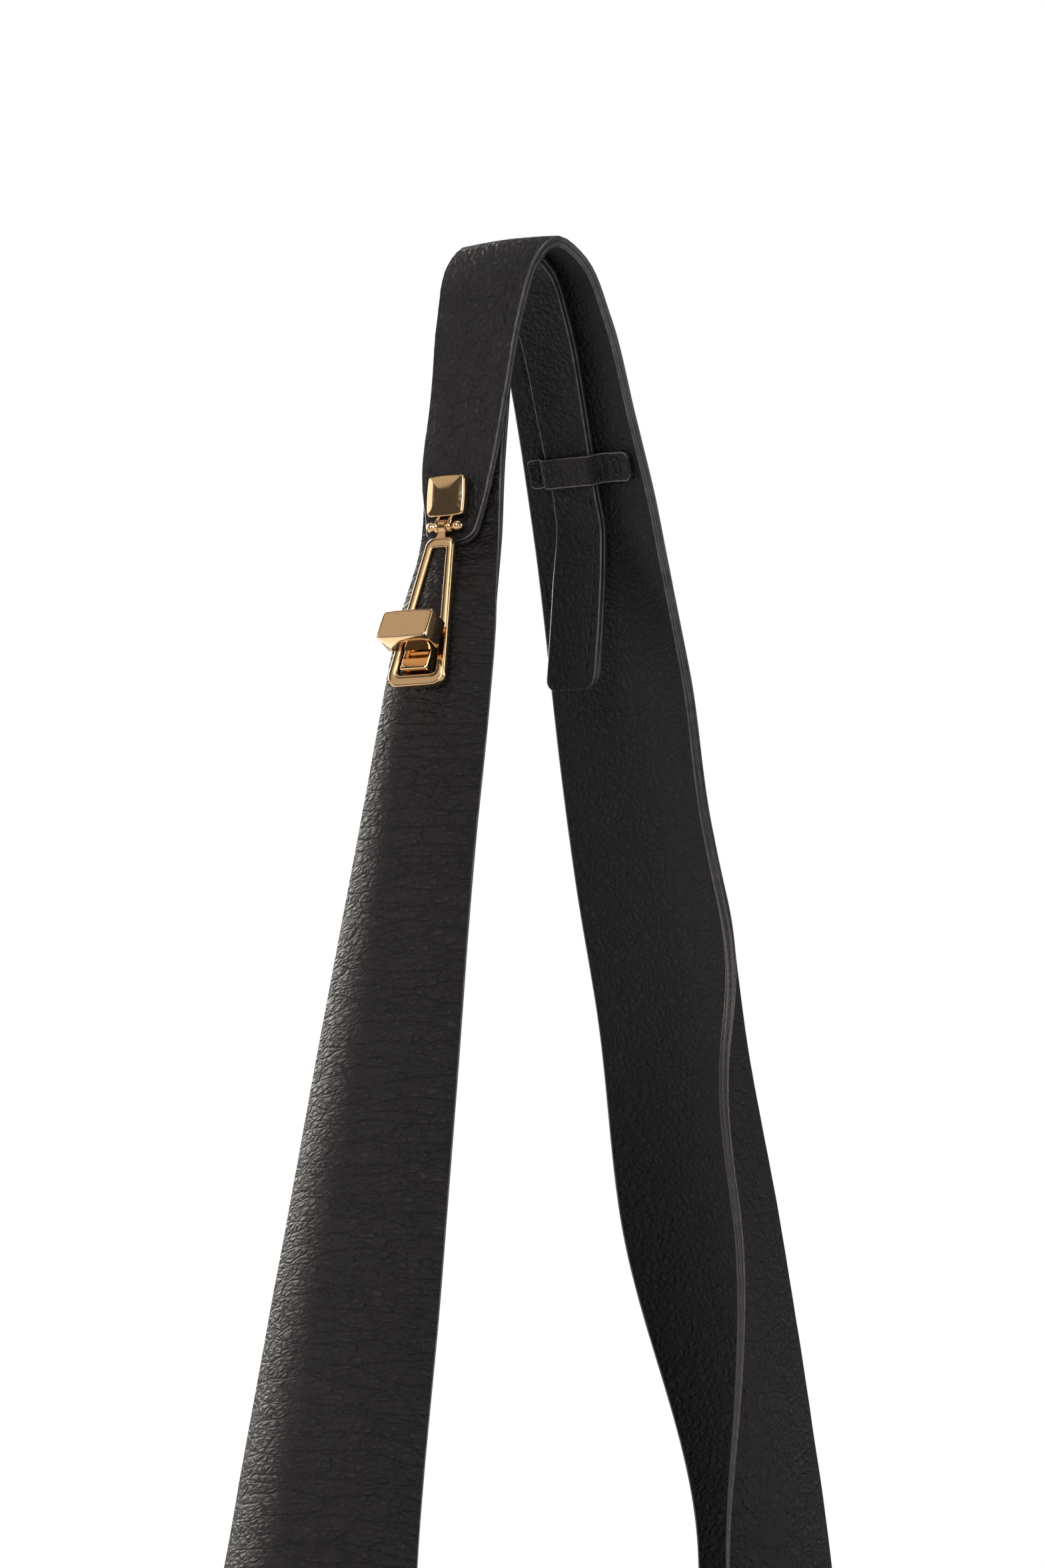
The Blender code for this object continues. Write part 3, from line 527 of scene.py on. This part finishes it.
# ---------------------------------------------------------------- keeper
KEEPER_HALF, KEEPER_SHIFT, TONGUE_MIDDLE = 16.0, -1.2, 1.4
KEEPER_LOW, KEEPER_HIGH = (-1.2, 0.2), (-4.6, -3.2)
PATCHES = (-12.4, 13.1)      # middles of the two sewn ends, across the strap


def keeper_press(across, along):
    """How far the sewn ends are pressed into the band."""
    press = 0.0
    for middle in PATCHES:
        near = 1.0 - max(abs(across - middle) / 2.1, abs(along) / 2.9)
        press = max(press, smooth_step(near * 4.0))
    return press


def make_keeper():
    """Band across the inner face of the right strap, arched over the tongue and sewn down at both ends."""
    rate = (SPINE.length(KEEPER_STATION + 0.25) - SPINE.length(KEEPER_STATION - 0.25)) * 2.0
    radius, corner, tall = 0.4, 1.7, 7.9
    rings, places, parts = [], [], None
    distances = [0.0, 0.04, 0.12, 0.25, 0.4, 0.7, 1.1, 1.7]
    spots = [-KEEPER_HALF + d for d in distances] + list(np.linspace(-14.0, 14.0, 85))
    spots += [KEEPER_HALF - d for d in reversed(distances)]
    for spot in spots:
        gap = KEEPER_HALF - abs(spot)
        half = 0.5 * tall - round_off(gap, corner)
        thin = 1.0 - round_off(gap, radius) / radius * 0.55
        across = spot + KEEPER_SHIFT
        lift = smooth_step((9.8 - abs(across - TONGUE_MIDDLE)) / 2.6)
        low = KEEPER_LOW[0] + (KEEPER_HIGH[0] - KEEPER_LOW[0]) * lift
        high = low + 1.4
        middle = 0.5 * (low + high)
        path = [(share * (half - radius), low) for share in np.linspace(-1.0, 1.0, 17)]
        path += [(half - pull, offset) for pull, offset in reversed(edge_path(low, high, radius))]
        path += [(share * (half - radius), high) for share in np.linspace(1.0, -1.0, 17)]
        path += [(-(half - pull), offset) for pull, offset in edge_path(low, high, radius)]
        ring, where = [], []
        for along, offset in path:
            offset = middle + (offset - middle) * thin
            if offset < middle:
                offset += 0.42 * keeper_press(across, along) * (1.0 - lift)
                offset += 0.10 * noise.noise(Vector((across * 0.9, along * 0.9, 4.0)))
            ring.append(Section(SPINE, KEEPER_STATION + along / rate).point(across, offset))
            where.append((along, across + (60.0 if offset > middle else 0.0)))
        where.append(where[0])
        rings.append(ring)
        places.append(where)
        edge = len(edge_path(low, high, radius))
        # The corner faces of the band's cut edges take the lighter rim paint, a painted highlight along the
        # edge corners.
        rim = [2, 2, 2] + [1] * (edge - 5) + [2, 2, 2]
        parts = [0] * 16 + rim + [0] * 16 + rim
    mesh = ring_mesh("keeper_band", rings, uv=places, parts=parts)
    finish_piece("keeper_band", mesh, "bag", ["keeper"], ("even", "paint", "rim"))
    for name, middle in zip(("front", "back"), PATCHES):
        points, ups = [], []
        corners = ((-1.1, -2.0), (1.1, -2.0), (1.1, 2.0), (-1.1, 2.0), (-1.1, -2.0))
        for (x0, y0), (x1, y1) in zip(corners, corners[1:]):
            count = 1 if abs(x1 - x0) > abs(y1 - y0) else 2
            for k in range(count):
                for share in ((k + 0.12) / count, (k + 0.88) / count):
                    across, along = middle + x0 + (x1 - x0) * share, y0 + (y1 - y0) * share
                    section = Section(SPINE, KEEPER_STATION + along / rate)
                    points.append(section.point(across, -0.86))
                    ups.append((section.point(across, -1.9) - points[-1]).normalized())
        stitch_row("keeper_thread_" + name, points, ups, ["keeper_stitch_" + name])


def edge_stitches(name, start, end, column, offset, inset, side, pitch=4.0, length=2.7):
    """Row of stitches along one long edge of a strip."""
    points, ups = [], []
    here, last = SPINE.length(start) + 2.0, SPINE.length(end) - 2.0
    while here + length < last:
        for mark in (here, here + length):
            station = SPINE.station(mark)
            half = SPINE.widths(station, column)[0 if side < 0 else 1]
            away = tongue_hang(station) if column == UNDER else 0.0
            across = side * (half - inset) + away * TONGUE_SKEW / TONGUE_HANG
            section = Section(SPINE, station)
            outward = 1.0 if offset > -1.0 else -1.0
            points.append(section.point(across, offset - away))
            ups.append((section.point(across, offset - away + outward) - points[-1]).normalized())
        here += pitch
    stitch_row(name, points, ups)


# ---------------------------------------------------------------- body of the bag
def make_panel(name, side, layer, nodes, materials, trim):
    """Front or back panel from the base to the dipped mouth, with soft folds and a rounded top edge."""
    low, high = layer
    columns, radius = 60, 0.4
    rings, places = [], []
    levels = (list(np.linspace(0.0, MOUTH_STATION - 0.05, 44))
              + [MOUTH_STATION - d for d in (0.02, 0.01, 0.004, 0.0)])
    floor = 3.1 * MM
    for level in levels:
        thin = 1.0 - round_off((MOUTH_STATION - level) * 60.0, radius) / radius * 0.7
        left, right = Section(SPINE, level), Section(SPINE, LAST - level)
        reach_l = SPINE.widths(level, UNDER)[0 if side < 0 else 1] + 0.25
        reach_r = SPINE.widths(LAST - level, OVER)[0 if side < 0 else 1] + 0.25

        def at(share, offset):
            share = trim + (1.0 - 2.0 * trim) * share
            offset = 0.5 * (low + high) + (offset - 0.5 * (low + high)) * thin
            a = left.point(side * reach_l, offset)
            b = right.point(side * reach_r, offset + OVER_SKIN)
            point = a.lerp(b, share)
            hollow = math.sin(math.pi * share)
            rise = max(point.z - floor, 0.0) / (CREST_HEIGHT * MM)
            point.z -= 22.0 * MM * hollow * min(1.0, rise * 3.0)
            fold = noise.noise(Vector((share * 3.1, level * 0.7, 7.0 + side)))
            fine = noise.noise(Vector((share * 9.0, level * 2.4, 2.0 + side)))
            point.y -= side * MM * hollow * min(1.0, rise * 5.0) * (1.1 + 1.3 * fold + 0.35 * fine)
            return point

        shares = [c / columns for c in range(columns + 1)]
        ring = [at(share, high) for share in shares] + [at(share, low) for share in reversed(shares)]
        tall = (left.centre[1] + CREST_HEIGHT)
        wide = (right.centre[0] - left.centre[0])
        where = ([(share * wide, tall) for share in shares]
                 + [(share * wide + 500.0, tall) for share in reversed(shares)])
        rings.append(ring)
        places.append(where + where[:1])
    parts = [0] * columns + [1] + [2] * columns + [1]
    mesh = ring_mesh(name, rings, uv=places, parts=parts)
    finish_piece(name, mesh, "bag", nodes, materials)


def base_outline(inset, steps=36):
    """Stadium outline of the base, inset from the outer leather."""
    points = []
    for station, turn, column in ((LAST, 1, OVER), (0.0, -1, UNDER)):
        section = Section(SPINE, station)
        half = SPINE.widths(station, column)[0]
        lift = OVER_SKIN if turn > 0 else 0.0
        for k in range(steps + 1):
            share = (-1.0 + 2.0 * k / steps) * turn
            point = section.point(share * half, lift - inset) / MM
            points.append(Vector((point.x, point.y)))
    return points


def make_base():
    """Leather base with a rounded rim, and its lining."""
    for name, inset, levels, node, slot, material in (
        ("base_leather", 0.0, [(9.0, 0.12), (0.9, 0.0), (0.3, 0.12), (0.0, 0.6), (0.0, 2.3), (0.4, 2.8),
                               (9.0, 2.8)],
         "base_panel", "leather", "even"),
        ("base_inside", 3.8, [(6.0, 5.9), (0.2, 5.9), (0.0, 6.1), (0.0, 6.7), (0.2, 6.9), (6.0, 6.9)],
         "base_lining", "lining", "inside"),
    ):
        mesh = solid(base_outline(inset), levels)
        layer = mesh.uv_layers.new(name="grain")
        for loop in mesh.loops:
            spot = mesh.vertices[loop.vertex_index].co / MM
            layer.data[loop.index].uv = (spot.x, spot.y)
        finish_piece(name, mesh, "bag", [node], (material,))


def make_body():
    make_panel("front_leather", -1, (-1.4, 0.0), ["front_panel"], ("even", "paint", "inside"), 0.0)
    make_panel("front_inside", -1, (-2.85, -1.45), ["front_lining"],
               ("inside", "paint", "inside"), 0.02)
    make_panel("back_leather", 1, (-1.4, 0.0), ["back_panel"], ("even", "paint", "inside"), 0.0)
    make_panel("back_inside", 1, (-2.85, -1.45), ["back_lining"],
               ("inside", "paint", "inside"), 0.02)
    make_base()
    for name, start, end, column, offset, side in (
        ("seam_left_front", 0.06, MOUTH_STATION, UNDER, 0.0, -1),
        ("seam_left_back", 0.06, MOUTH_STATION, UNDER, 0.0, 1),
        ("seam_right_front", LAST - MOUTH_STATION, LAST - 0.06, OVER, OVER_SKIN, -1),
        ("seam_right_back", LAST - MOUTH_STATION, LAST - 0.06, OVER, OVER_SKIN, 1),
        ("tongue_stitches", 18.95, 21.9, UNDER, -2.92, -1),
    ):
        edge_stitches(name, start, end, column, offset + (0.08 if offset >= 0 else -0.05), 2.4, side)


# ---------------------------------------------------------------- hardware
def strap_frame(station, tilt=0.0, offset=0.0):
    """Matrix whose X runs to the front, Y up the strap and Z outwards, tilted up about X."""
    section = Section(SPINE, station)
    across = Vector((0.0, -1.0, 0.0))
    outward = Vector((section.normal[0], 0.0, section.normal[1])).normalized()
    outward = (Matrix.Rotation(math.radians(tilt), 3, across) @ outward).normalized()
    up = outward.cross(across).normalized()
    axes = Matrix((across, up, outward)).transposed().to_4x4()
    return Matrix.Translation(section.point(0.0, offset)) @ axes


def rounded_outline(corners, radii, steps=8):
    """Closed outline through corners, each rounded by its own radius."""
    points = []
    for i, corner in enumerate(corners):
        here = Vector(corner)
        before = (Vector(corners[i - 1]) - here).normalized()
        after = (Vector(corners[(i + 1) % len(corners)]) - here).normalized()
        half = 0.5 * before.angle(after)
        reach = radii[i] / math.tan(half)
        start, end = here + before * reach, here + after * reach
        for k in range(steps + 1):
            t = k / steps
            points.append((1 - t) ** 2 * start + 2 * t * (1 - t) * here + t**2 * end)
    return points


def bowed_outline(width, height, bow_x, bow_y, corner=0.35, steps=14):
    """Rectangle whose sides bow outwards in the middle, with small rounded corners."""
    points = []
    half_w, half_h = 0.5 * width, 0.5 * height
    for side in range(4):
        for k in range(steps):
            v = -1.0 + 2.0 * (k + 0.5) / steps
            fall = v * v
            nip = corner * max(abs(v) - 0.86, 0.0) / 0.14
            if side == 0:
                points.append(Vector((v * half_w * (1 - bow_x), -half_h * (1 - bow_y * fall) + nip * 0.4)))
            elif side == 1:
                points.append(Vector((half_w * (1 - bow_x * fall) - nip * 0.4, v * half_h * (1 - bow_y))))
            elif side == 2:
                points.append(Vector((-v * half_w * (1 - bow_x), half_h * (1 - bow_y * fall) - nip * 0.4)))
            else:
                points.append(Vector((-half_w * (1 - bow_x * fall) + nip * 0.4, -v * half_h * (1 - bow_y))))
    return points


def stack(outline, levels):
    """Rings of an outline: each level gives how far it pulls in and its height."""
    half_w = max(abs(p.x) for p in outline)
    half_h = max(abs(p.y) for p in outline)
    rings = []
    for pull, height in levels:
        kx, ky = 1.0 - pull / half_w, 1.0 - pull / half_h
        rings.append([Vector((p.x * kx, p.y * ky, height)) * MM for p in outline])
    return rings


def rounded_levels(low, high, radius, crown, half, bottom=0.2, steps=5, rounds=6):
    """Levels of a block: small lower edge, straight wall, rounded upper edge, crowned face."""
    levels = [(bottom + 0.6, low), (bottom, low), (0.0, low + bottom), (0.0, high - radius)]
    for k in range(1, steps + 1):
        turn = 0.5 * math.pi * k / steps
        levels.append((radius * (1 - math.cos(turn)), high - radius * (1 - math.sin(turn))))
    for k in range(1, rounds + 1):
        pull = radius + (half - radius) * (k / rounds) * 0.97
        share = pull / half
        levels.append((pull, high + crown * (1 - (1 - share) ** 2)))
    return levels


def solid(outline, levels):
    return ring_mesh("part", stack(outline, levels))


def lathe(profile, segments=28, close=True):
    """Solid of revolution about X, from (along, radius) points; a profile closed on itself has no ends."""
    rings = []
    for along, radius in profile:
        rings.append([Vector((along, radius * math.cos(2 * math.pi * k / segments),
                              radius * math.sin(2 * math.pi * k / segments))) * MM for k in range(segments)])
    return ring_mesh("part", rings, close_ends=close)


def gather(name, parts, matrix):
    """One mesh of several closed solids, moved into place."""
    bm = bmesh.new()
    for part in parts:
        bm.from_mesh(part)
        bpy.data.meshes.remove(part)
    mesh = bpy.data.meshes.new(name)
    bm.to_mesh(mesh)
    bm.free()
    mesh.transform(matrix)
    return mesh


def arc_profile(centre, radius, start, end, steps=9):
    """Points (along, radius) round part of a ball on the X axis."""
    return [(centre - radius * math.cos(start + (end - start) * k / steps),
             radius * math.sin(start + (end - start) * k / steps)) for k in range(steps + 1)]


def make_plate():
    """Cushion-shaped plate with two lugs for the pin."""
    place = strap_frame(PLATE_STATION, offset=OVER_SKIN + 0.3)
    pin = place.inverted() @ strap_frame(PIN_STATION, offset=OVER_SKIN + 1.95).translation / MM
    body = solid(bowed_outline(11.2, 10.6, 0.045, 0.06), rounded_levels(0.0, 2.55, 0.42, 0.55, 5.3))
    parts = [body]
    for side in (-1, 1):
        outline = []
        for k in range(28):
            turn = 2 * math.pi * k / 28
            outline.append((pin.y + 1.6 * math.cos(turn), pin.z + 1.6 * math.sin(turn)))
        rings = []
        for x, pull in ((-0.45, 0.12), (-0.33, 0.0), (0.33, 0.0), (0.45, 0.12)):
            ring = []
            for y, z in outline:
                y2, z2 = pin.y + (y - pin.y) * (1 - pull / 1.6), pin.z + (z - pin.z) * (1 - pull / 1.6)
                if y > pin.y:
                    share = (y - pin.y) / 1.6
                    y2 = y2 + share**2 * 1.4
                    z2 = z2 + (0.9 - z2) * 0.35 * share**2
                ring.append(Vector((side * 1.9 + x, y2, z2)) * MM)
            rings.append(ring)
        parts.append(ring_mesh("lug", rings))
    mesh = gather("hasp_plate_gold", parts, place)
    finish_piece("hasp_plate_gold", mesh, "bag", ["hasp_plate"], ("gold",), angle=55)


def make_pin():
    """Hinge pin with a ball at each end."""
    ball, radius = 3.95, 1.35
    neck = math.asin(0.9 / radius)
    profile = arc_profile(-ball, radius, 0.06, math.pi - neck)
    profile += arc_profile(ball, radius, neck, math.pi - 0.06)
    mesh = gather("hinge_pin_gold", [lathe(profile)],
                  strap_frame(PIN_STATION, offset=OVER_SKIN + 1.95))
    finish_piece("hinge_pin_gold", mesh, "bag", ["hinge_pin"], ("gold",), angle=55)


def loop_place():
    """Frame of the hanging loop: its plane runs from the pin to beside the lock."""
    pin = strap_frame(PIN_STATION, offset=OVER_SKIN + 1.95).translation
    lock = strap_frame(LOCK_STATION, tilt=LOCK_TILT)
    hang = lock @ (Vector((0.0, 0.0, LOOP_REST)) * MM) - pin
    up = -Vector((hang.x, 0.0, hang.z)).normalized()
    across = Vector((0.0, -1.0, 0.0))
    axes = Matrix((across, up, across.cross(up))).transposed().to_4x4()
    return Matrix.Translation(pin) @ axes


def make_loop():
    """Tapered loop with raised rims round its face and window, hung from the pin by a neck and an eye."""
    outer = rounded_outline([(-3.9, -3.2), (-8.8, -43.2), (8.8, -43.2), (3.9, -3.2)], [2.8, 3.7, 3.7, 2.8])
    inner = rounded_outline([(-2.2, -5.9), (-6.1, -40.3), (6.1, -40.3), (2.2, -5.9)], [0.9, 1.8, 1.8, 0.9])
    section = ((0.0, 0.66), (0.03, 0.84), (0.09, 0.95), (0.15, 0.98), (0.21, 0.93), (0.5, 0.915),
               (0.79, 0.93), (0.85, 0.98), (0.91, 0.95), (0.97, 0.84), (1.0, 0.66), (1.0, -0.8), (0.93, -1.0), (0.07, -1.0),
               (0.0, -0.8))
    rings = []
    for share, height in section + section[:1]:
        rings.append([(a.lerp(b, share)).to_3d() * MM + Vector((0, 0, height * MM))
                      for a, b in zip(outer, inner)])
    body = ring_mesh("loop", rings, close_ends=False)
    section = ((-1.1, 1.2), (-1.1, 1.6), (-0.9, 1.85), (0.9, 1.85), (1.1, 1.6), (1.1, 1.2), (-1.1, 1.2))
    eye = lathe(section, close=False)
    flare = [(-2.5, -4.6), (2.5, -4.6), (1.35, -3.1), (1.05, -2.0), (1.05, -0.9), (-1.05, -0.9),
             (-1.05, -2.0), (-1.35, -3.1)]
    neck = solid(rounded_outline(flare, [0.2, 0.2, 1.2, 1.2, 0.15, 0.15, 1.2, 1.2], 4),
                 [(0.2, -0.88), (0.0, -0.7), (0.0, 0.7), (0.2, 0.9)])
    mesh = gather("hasp_loop_gold", [body, eye, neck], loop_place())
    bm = bmesh.new()
    bm.from_mesh(mesh)
    bmesh.ops.remove_doubles(bm, verts=bm.verts, dist=1e-7)
    bm.to_mesh(mesh)
    bm.free()
    finish_piece("hasp_loop_gold", mesh, "loop", ["hasp_loop"], ("gold",), angle=42)


def make_head():
    """Turn lock's head: a bowed block over a square neck."""
    width, length, depth = 15.0, 8.1, 6.8
    bottom = 4.2
    block = solid(bowed_outline(width, length, 0.02, 0.05, corner=0.2),
                  rounded_levels(bottom, bottom + depth - 0.3, 0.28, 0.30, 0.5 * length))
    neck = solid(rounded_outline([(-3.2, -3.1), (3.2, -3.1), (3.2, 3.1), (-3.2, 3.1)], [0.5] * 4, 5),
                 [(0.2, bottom - 1.28), (0.0, bottom - 1.1), (0.0, bottom + 0.3)])
    mesh = gather("lock_head_gold", [block, neck], strap_frame(LOCK_STATION, tilt=LOCK_TILT))
    finish_piece("lock_head_gold", mesh, "turn", ["lock_head"], ("gold",), angle=50)


def dress_hidden_metal():
    """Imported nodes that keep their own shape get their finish."""
    for node, material in (("lock_base", "gold"), ("lock_stem", "gold"), ("lock_rivet_lower", "gold"),
                           ("lock_rivet_upper", "gold"), ("plate_rivet_front", "gold"),
                           ("plate_rivet_back", "gold"),
                           ("plate_backing", "steel"), ("lock_backing", "steel"), ("lock_spring", "steel"),
                           ("stem_clip", "steel"), ("base_board", "board")):
        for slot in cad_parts[node].material_slots:
            slot.material = MATERIALS[material]


# ---------------------------------------------------------------- studio and camera
def area_light(name, place, target, size, power, color=(1.0, 1.0, 1.0)):
    """Softbox aimed at a point."""
    data = bpy.data.lights.new(name, "AREA")
    data.shape = "RECTANGLE"
    data.size, data.size_y = size
    data.energy = power
    data.color = color
    lamp = bpy.data.objects.new(name, data)
    bpy.context.scene.collection.objects.link(lamp)
    lamp.location = place
    lamp.rotation_euler = (Vector(target) - Vector(place)).to_track_quat("-Z", "Y").to_euler()
    return lamp


FLOOR_RADIUS = 4.5          # metres
WARM_LIGHT = (1.0, 0.97, 0.94)


def make_studio():
    """Pale floor, white surroundings and soft boxes."""
    bpy.context.scene.view_settings.view_transform = "Standard"
    mesh = bpy.data.meshes.new("floor")
    ring = [(FLOOR_RADIUS * math.cos(t), FLOOR_RADIUS * math.sin(t), 0.0)
            for t in np.linspace(0.0, 2.0 * math.pi, 97)[:-1]]
    mesh.from_pydata(ring, [], [tuple(range(len(ring)))])
    floor = bpy.data.objects.new("floor", mesh)
    bpy.context.scene.collection.objects.link(floor)
    tree = Tree("pale_floor")
    cloud = tree.add("TexNoise", {"Vector": tree.add("TexCoord").outputs["Object"], "Scale": 2.0})
    shade = tree.blend_color(cloud.outputs["Fac"], (0.80, 0.80, 0.80, 1.0), (0.84, 0.84, 0.84, 1.0))
    tree.set(Base_Color=shade, Roughness=0.8)
    mesh.materials.append(tree.material)

    world = bpy.data.worlds.new("studio")
    bpy.context.scene.world = world
    world.use_nodes = True
    nodes, links = world.node_tree.nodes, world.node_tree.links
    nodes.clear()
    output = nodes.new("ShaderNodeOutputWorld")
    seen, lit = nodes.new("ShaderNodeBackground"), nodes.new("ShaderNodeBackground")
    seen.inputs["Color"].default_value = (1.0, 1.0, 1.0, 1.0)
    lit.inputs["Color"].default_value = (0.075, 0.070, 0.068, 1.0)
    path, mix = nodes.new("ShaderNodeLightPath"), nodes.new("ShaderNodeMixShader")
    links.new(path.outputs["Is Camera Ray"], mix.inputs["Fac"])
    links.new(lit.outputs[0], mix.inputs[1])
    links.new(seen.outputs[0], mix.inputs[2])
    links.new(mix.outputs[0], output.inputs["Surface"])

    aim = (0.0, 0.0, 0.42)
    area_light("key_box", (-1.6, -0.2, 1.15), aim, (0.9, 1.2), 16.0, WARM_LIGHT)
    area_light("rim_box", (-0.7, 1.5, 0.7), aim, (0.8, 1.5), 5.0)
    area_light("fill_box", (0.9, -1.6, 0.9), aim, (1.0, 1.3), 8.0)
    area_light("top_box", (0.1, 0.0, 1.9), aim, (1.2, 1.0), 4.5)
    area_light("lock_box", (-0.70, 0.96, 1.5), (-0.04, 0.0, 0.49), (0.9, 0.9), 1.2, (1.0, 0.90, 0.76))
    area_light("floor_box", (0.55, 0.9, 0.8), (0.35, 0.5, 0.0), (0.7, 0.7), 14.0, (1.0, 0.95, 0.88))
    area_light("edge_box", (-0.95, -1.55, 0.62), aim, (0.22, 1.5), 4.5, (1.0, 0.97, 0.95))


def make_camera():
    """Camera in front and to the left, a little below the hardware and looking slightly up."""
    turn, climb, distance = math.radians(56.0), math.radians(5.0), 1.5
    sight = Vector((math.sin(turn) * math.cos(climb), math.cos(turn) * math.cos(climb), math.sin(climb)))
    target = Vector((0.0116, 0.0045, 0.4610))
    data = bpy.data.cameras.new("camera")
    data.sensor_fit = "VERTICAL"
    data.sensor_height = 36.0
    data.lens = 134.8
    camera = bpy.data.objects.new("camera", data)
    bpy.context.scene.collection.objects.link(camera)
    camera.location = target - sight * distance
    camera.rotation_euler = sight.to_track_quat("-Z", "Y").to_euler()
    bpy.context.scene.camera = camera


make_wings()
make_keeper()
make_body()
make_plate()
make_pin()
make_loop()
make_head()
dress_hidden_metal()
make_studio()
make_camera()
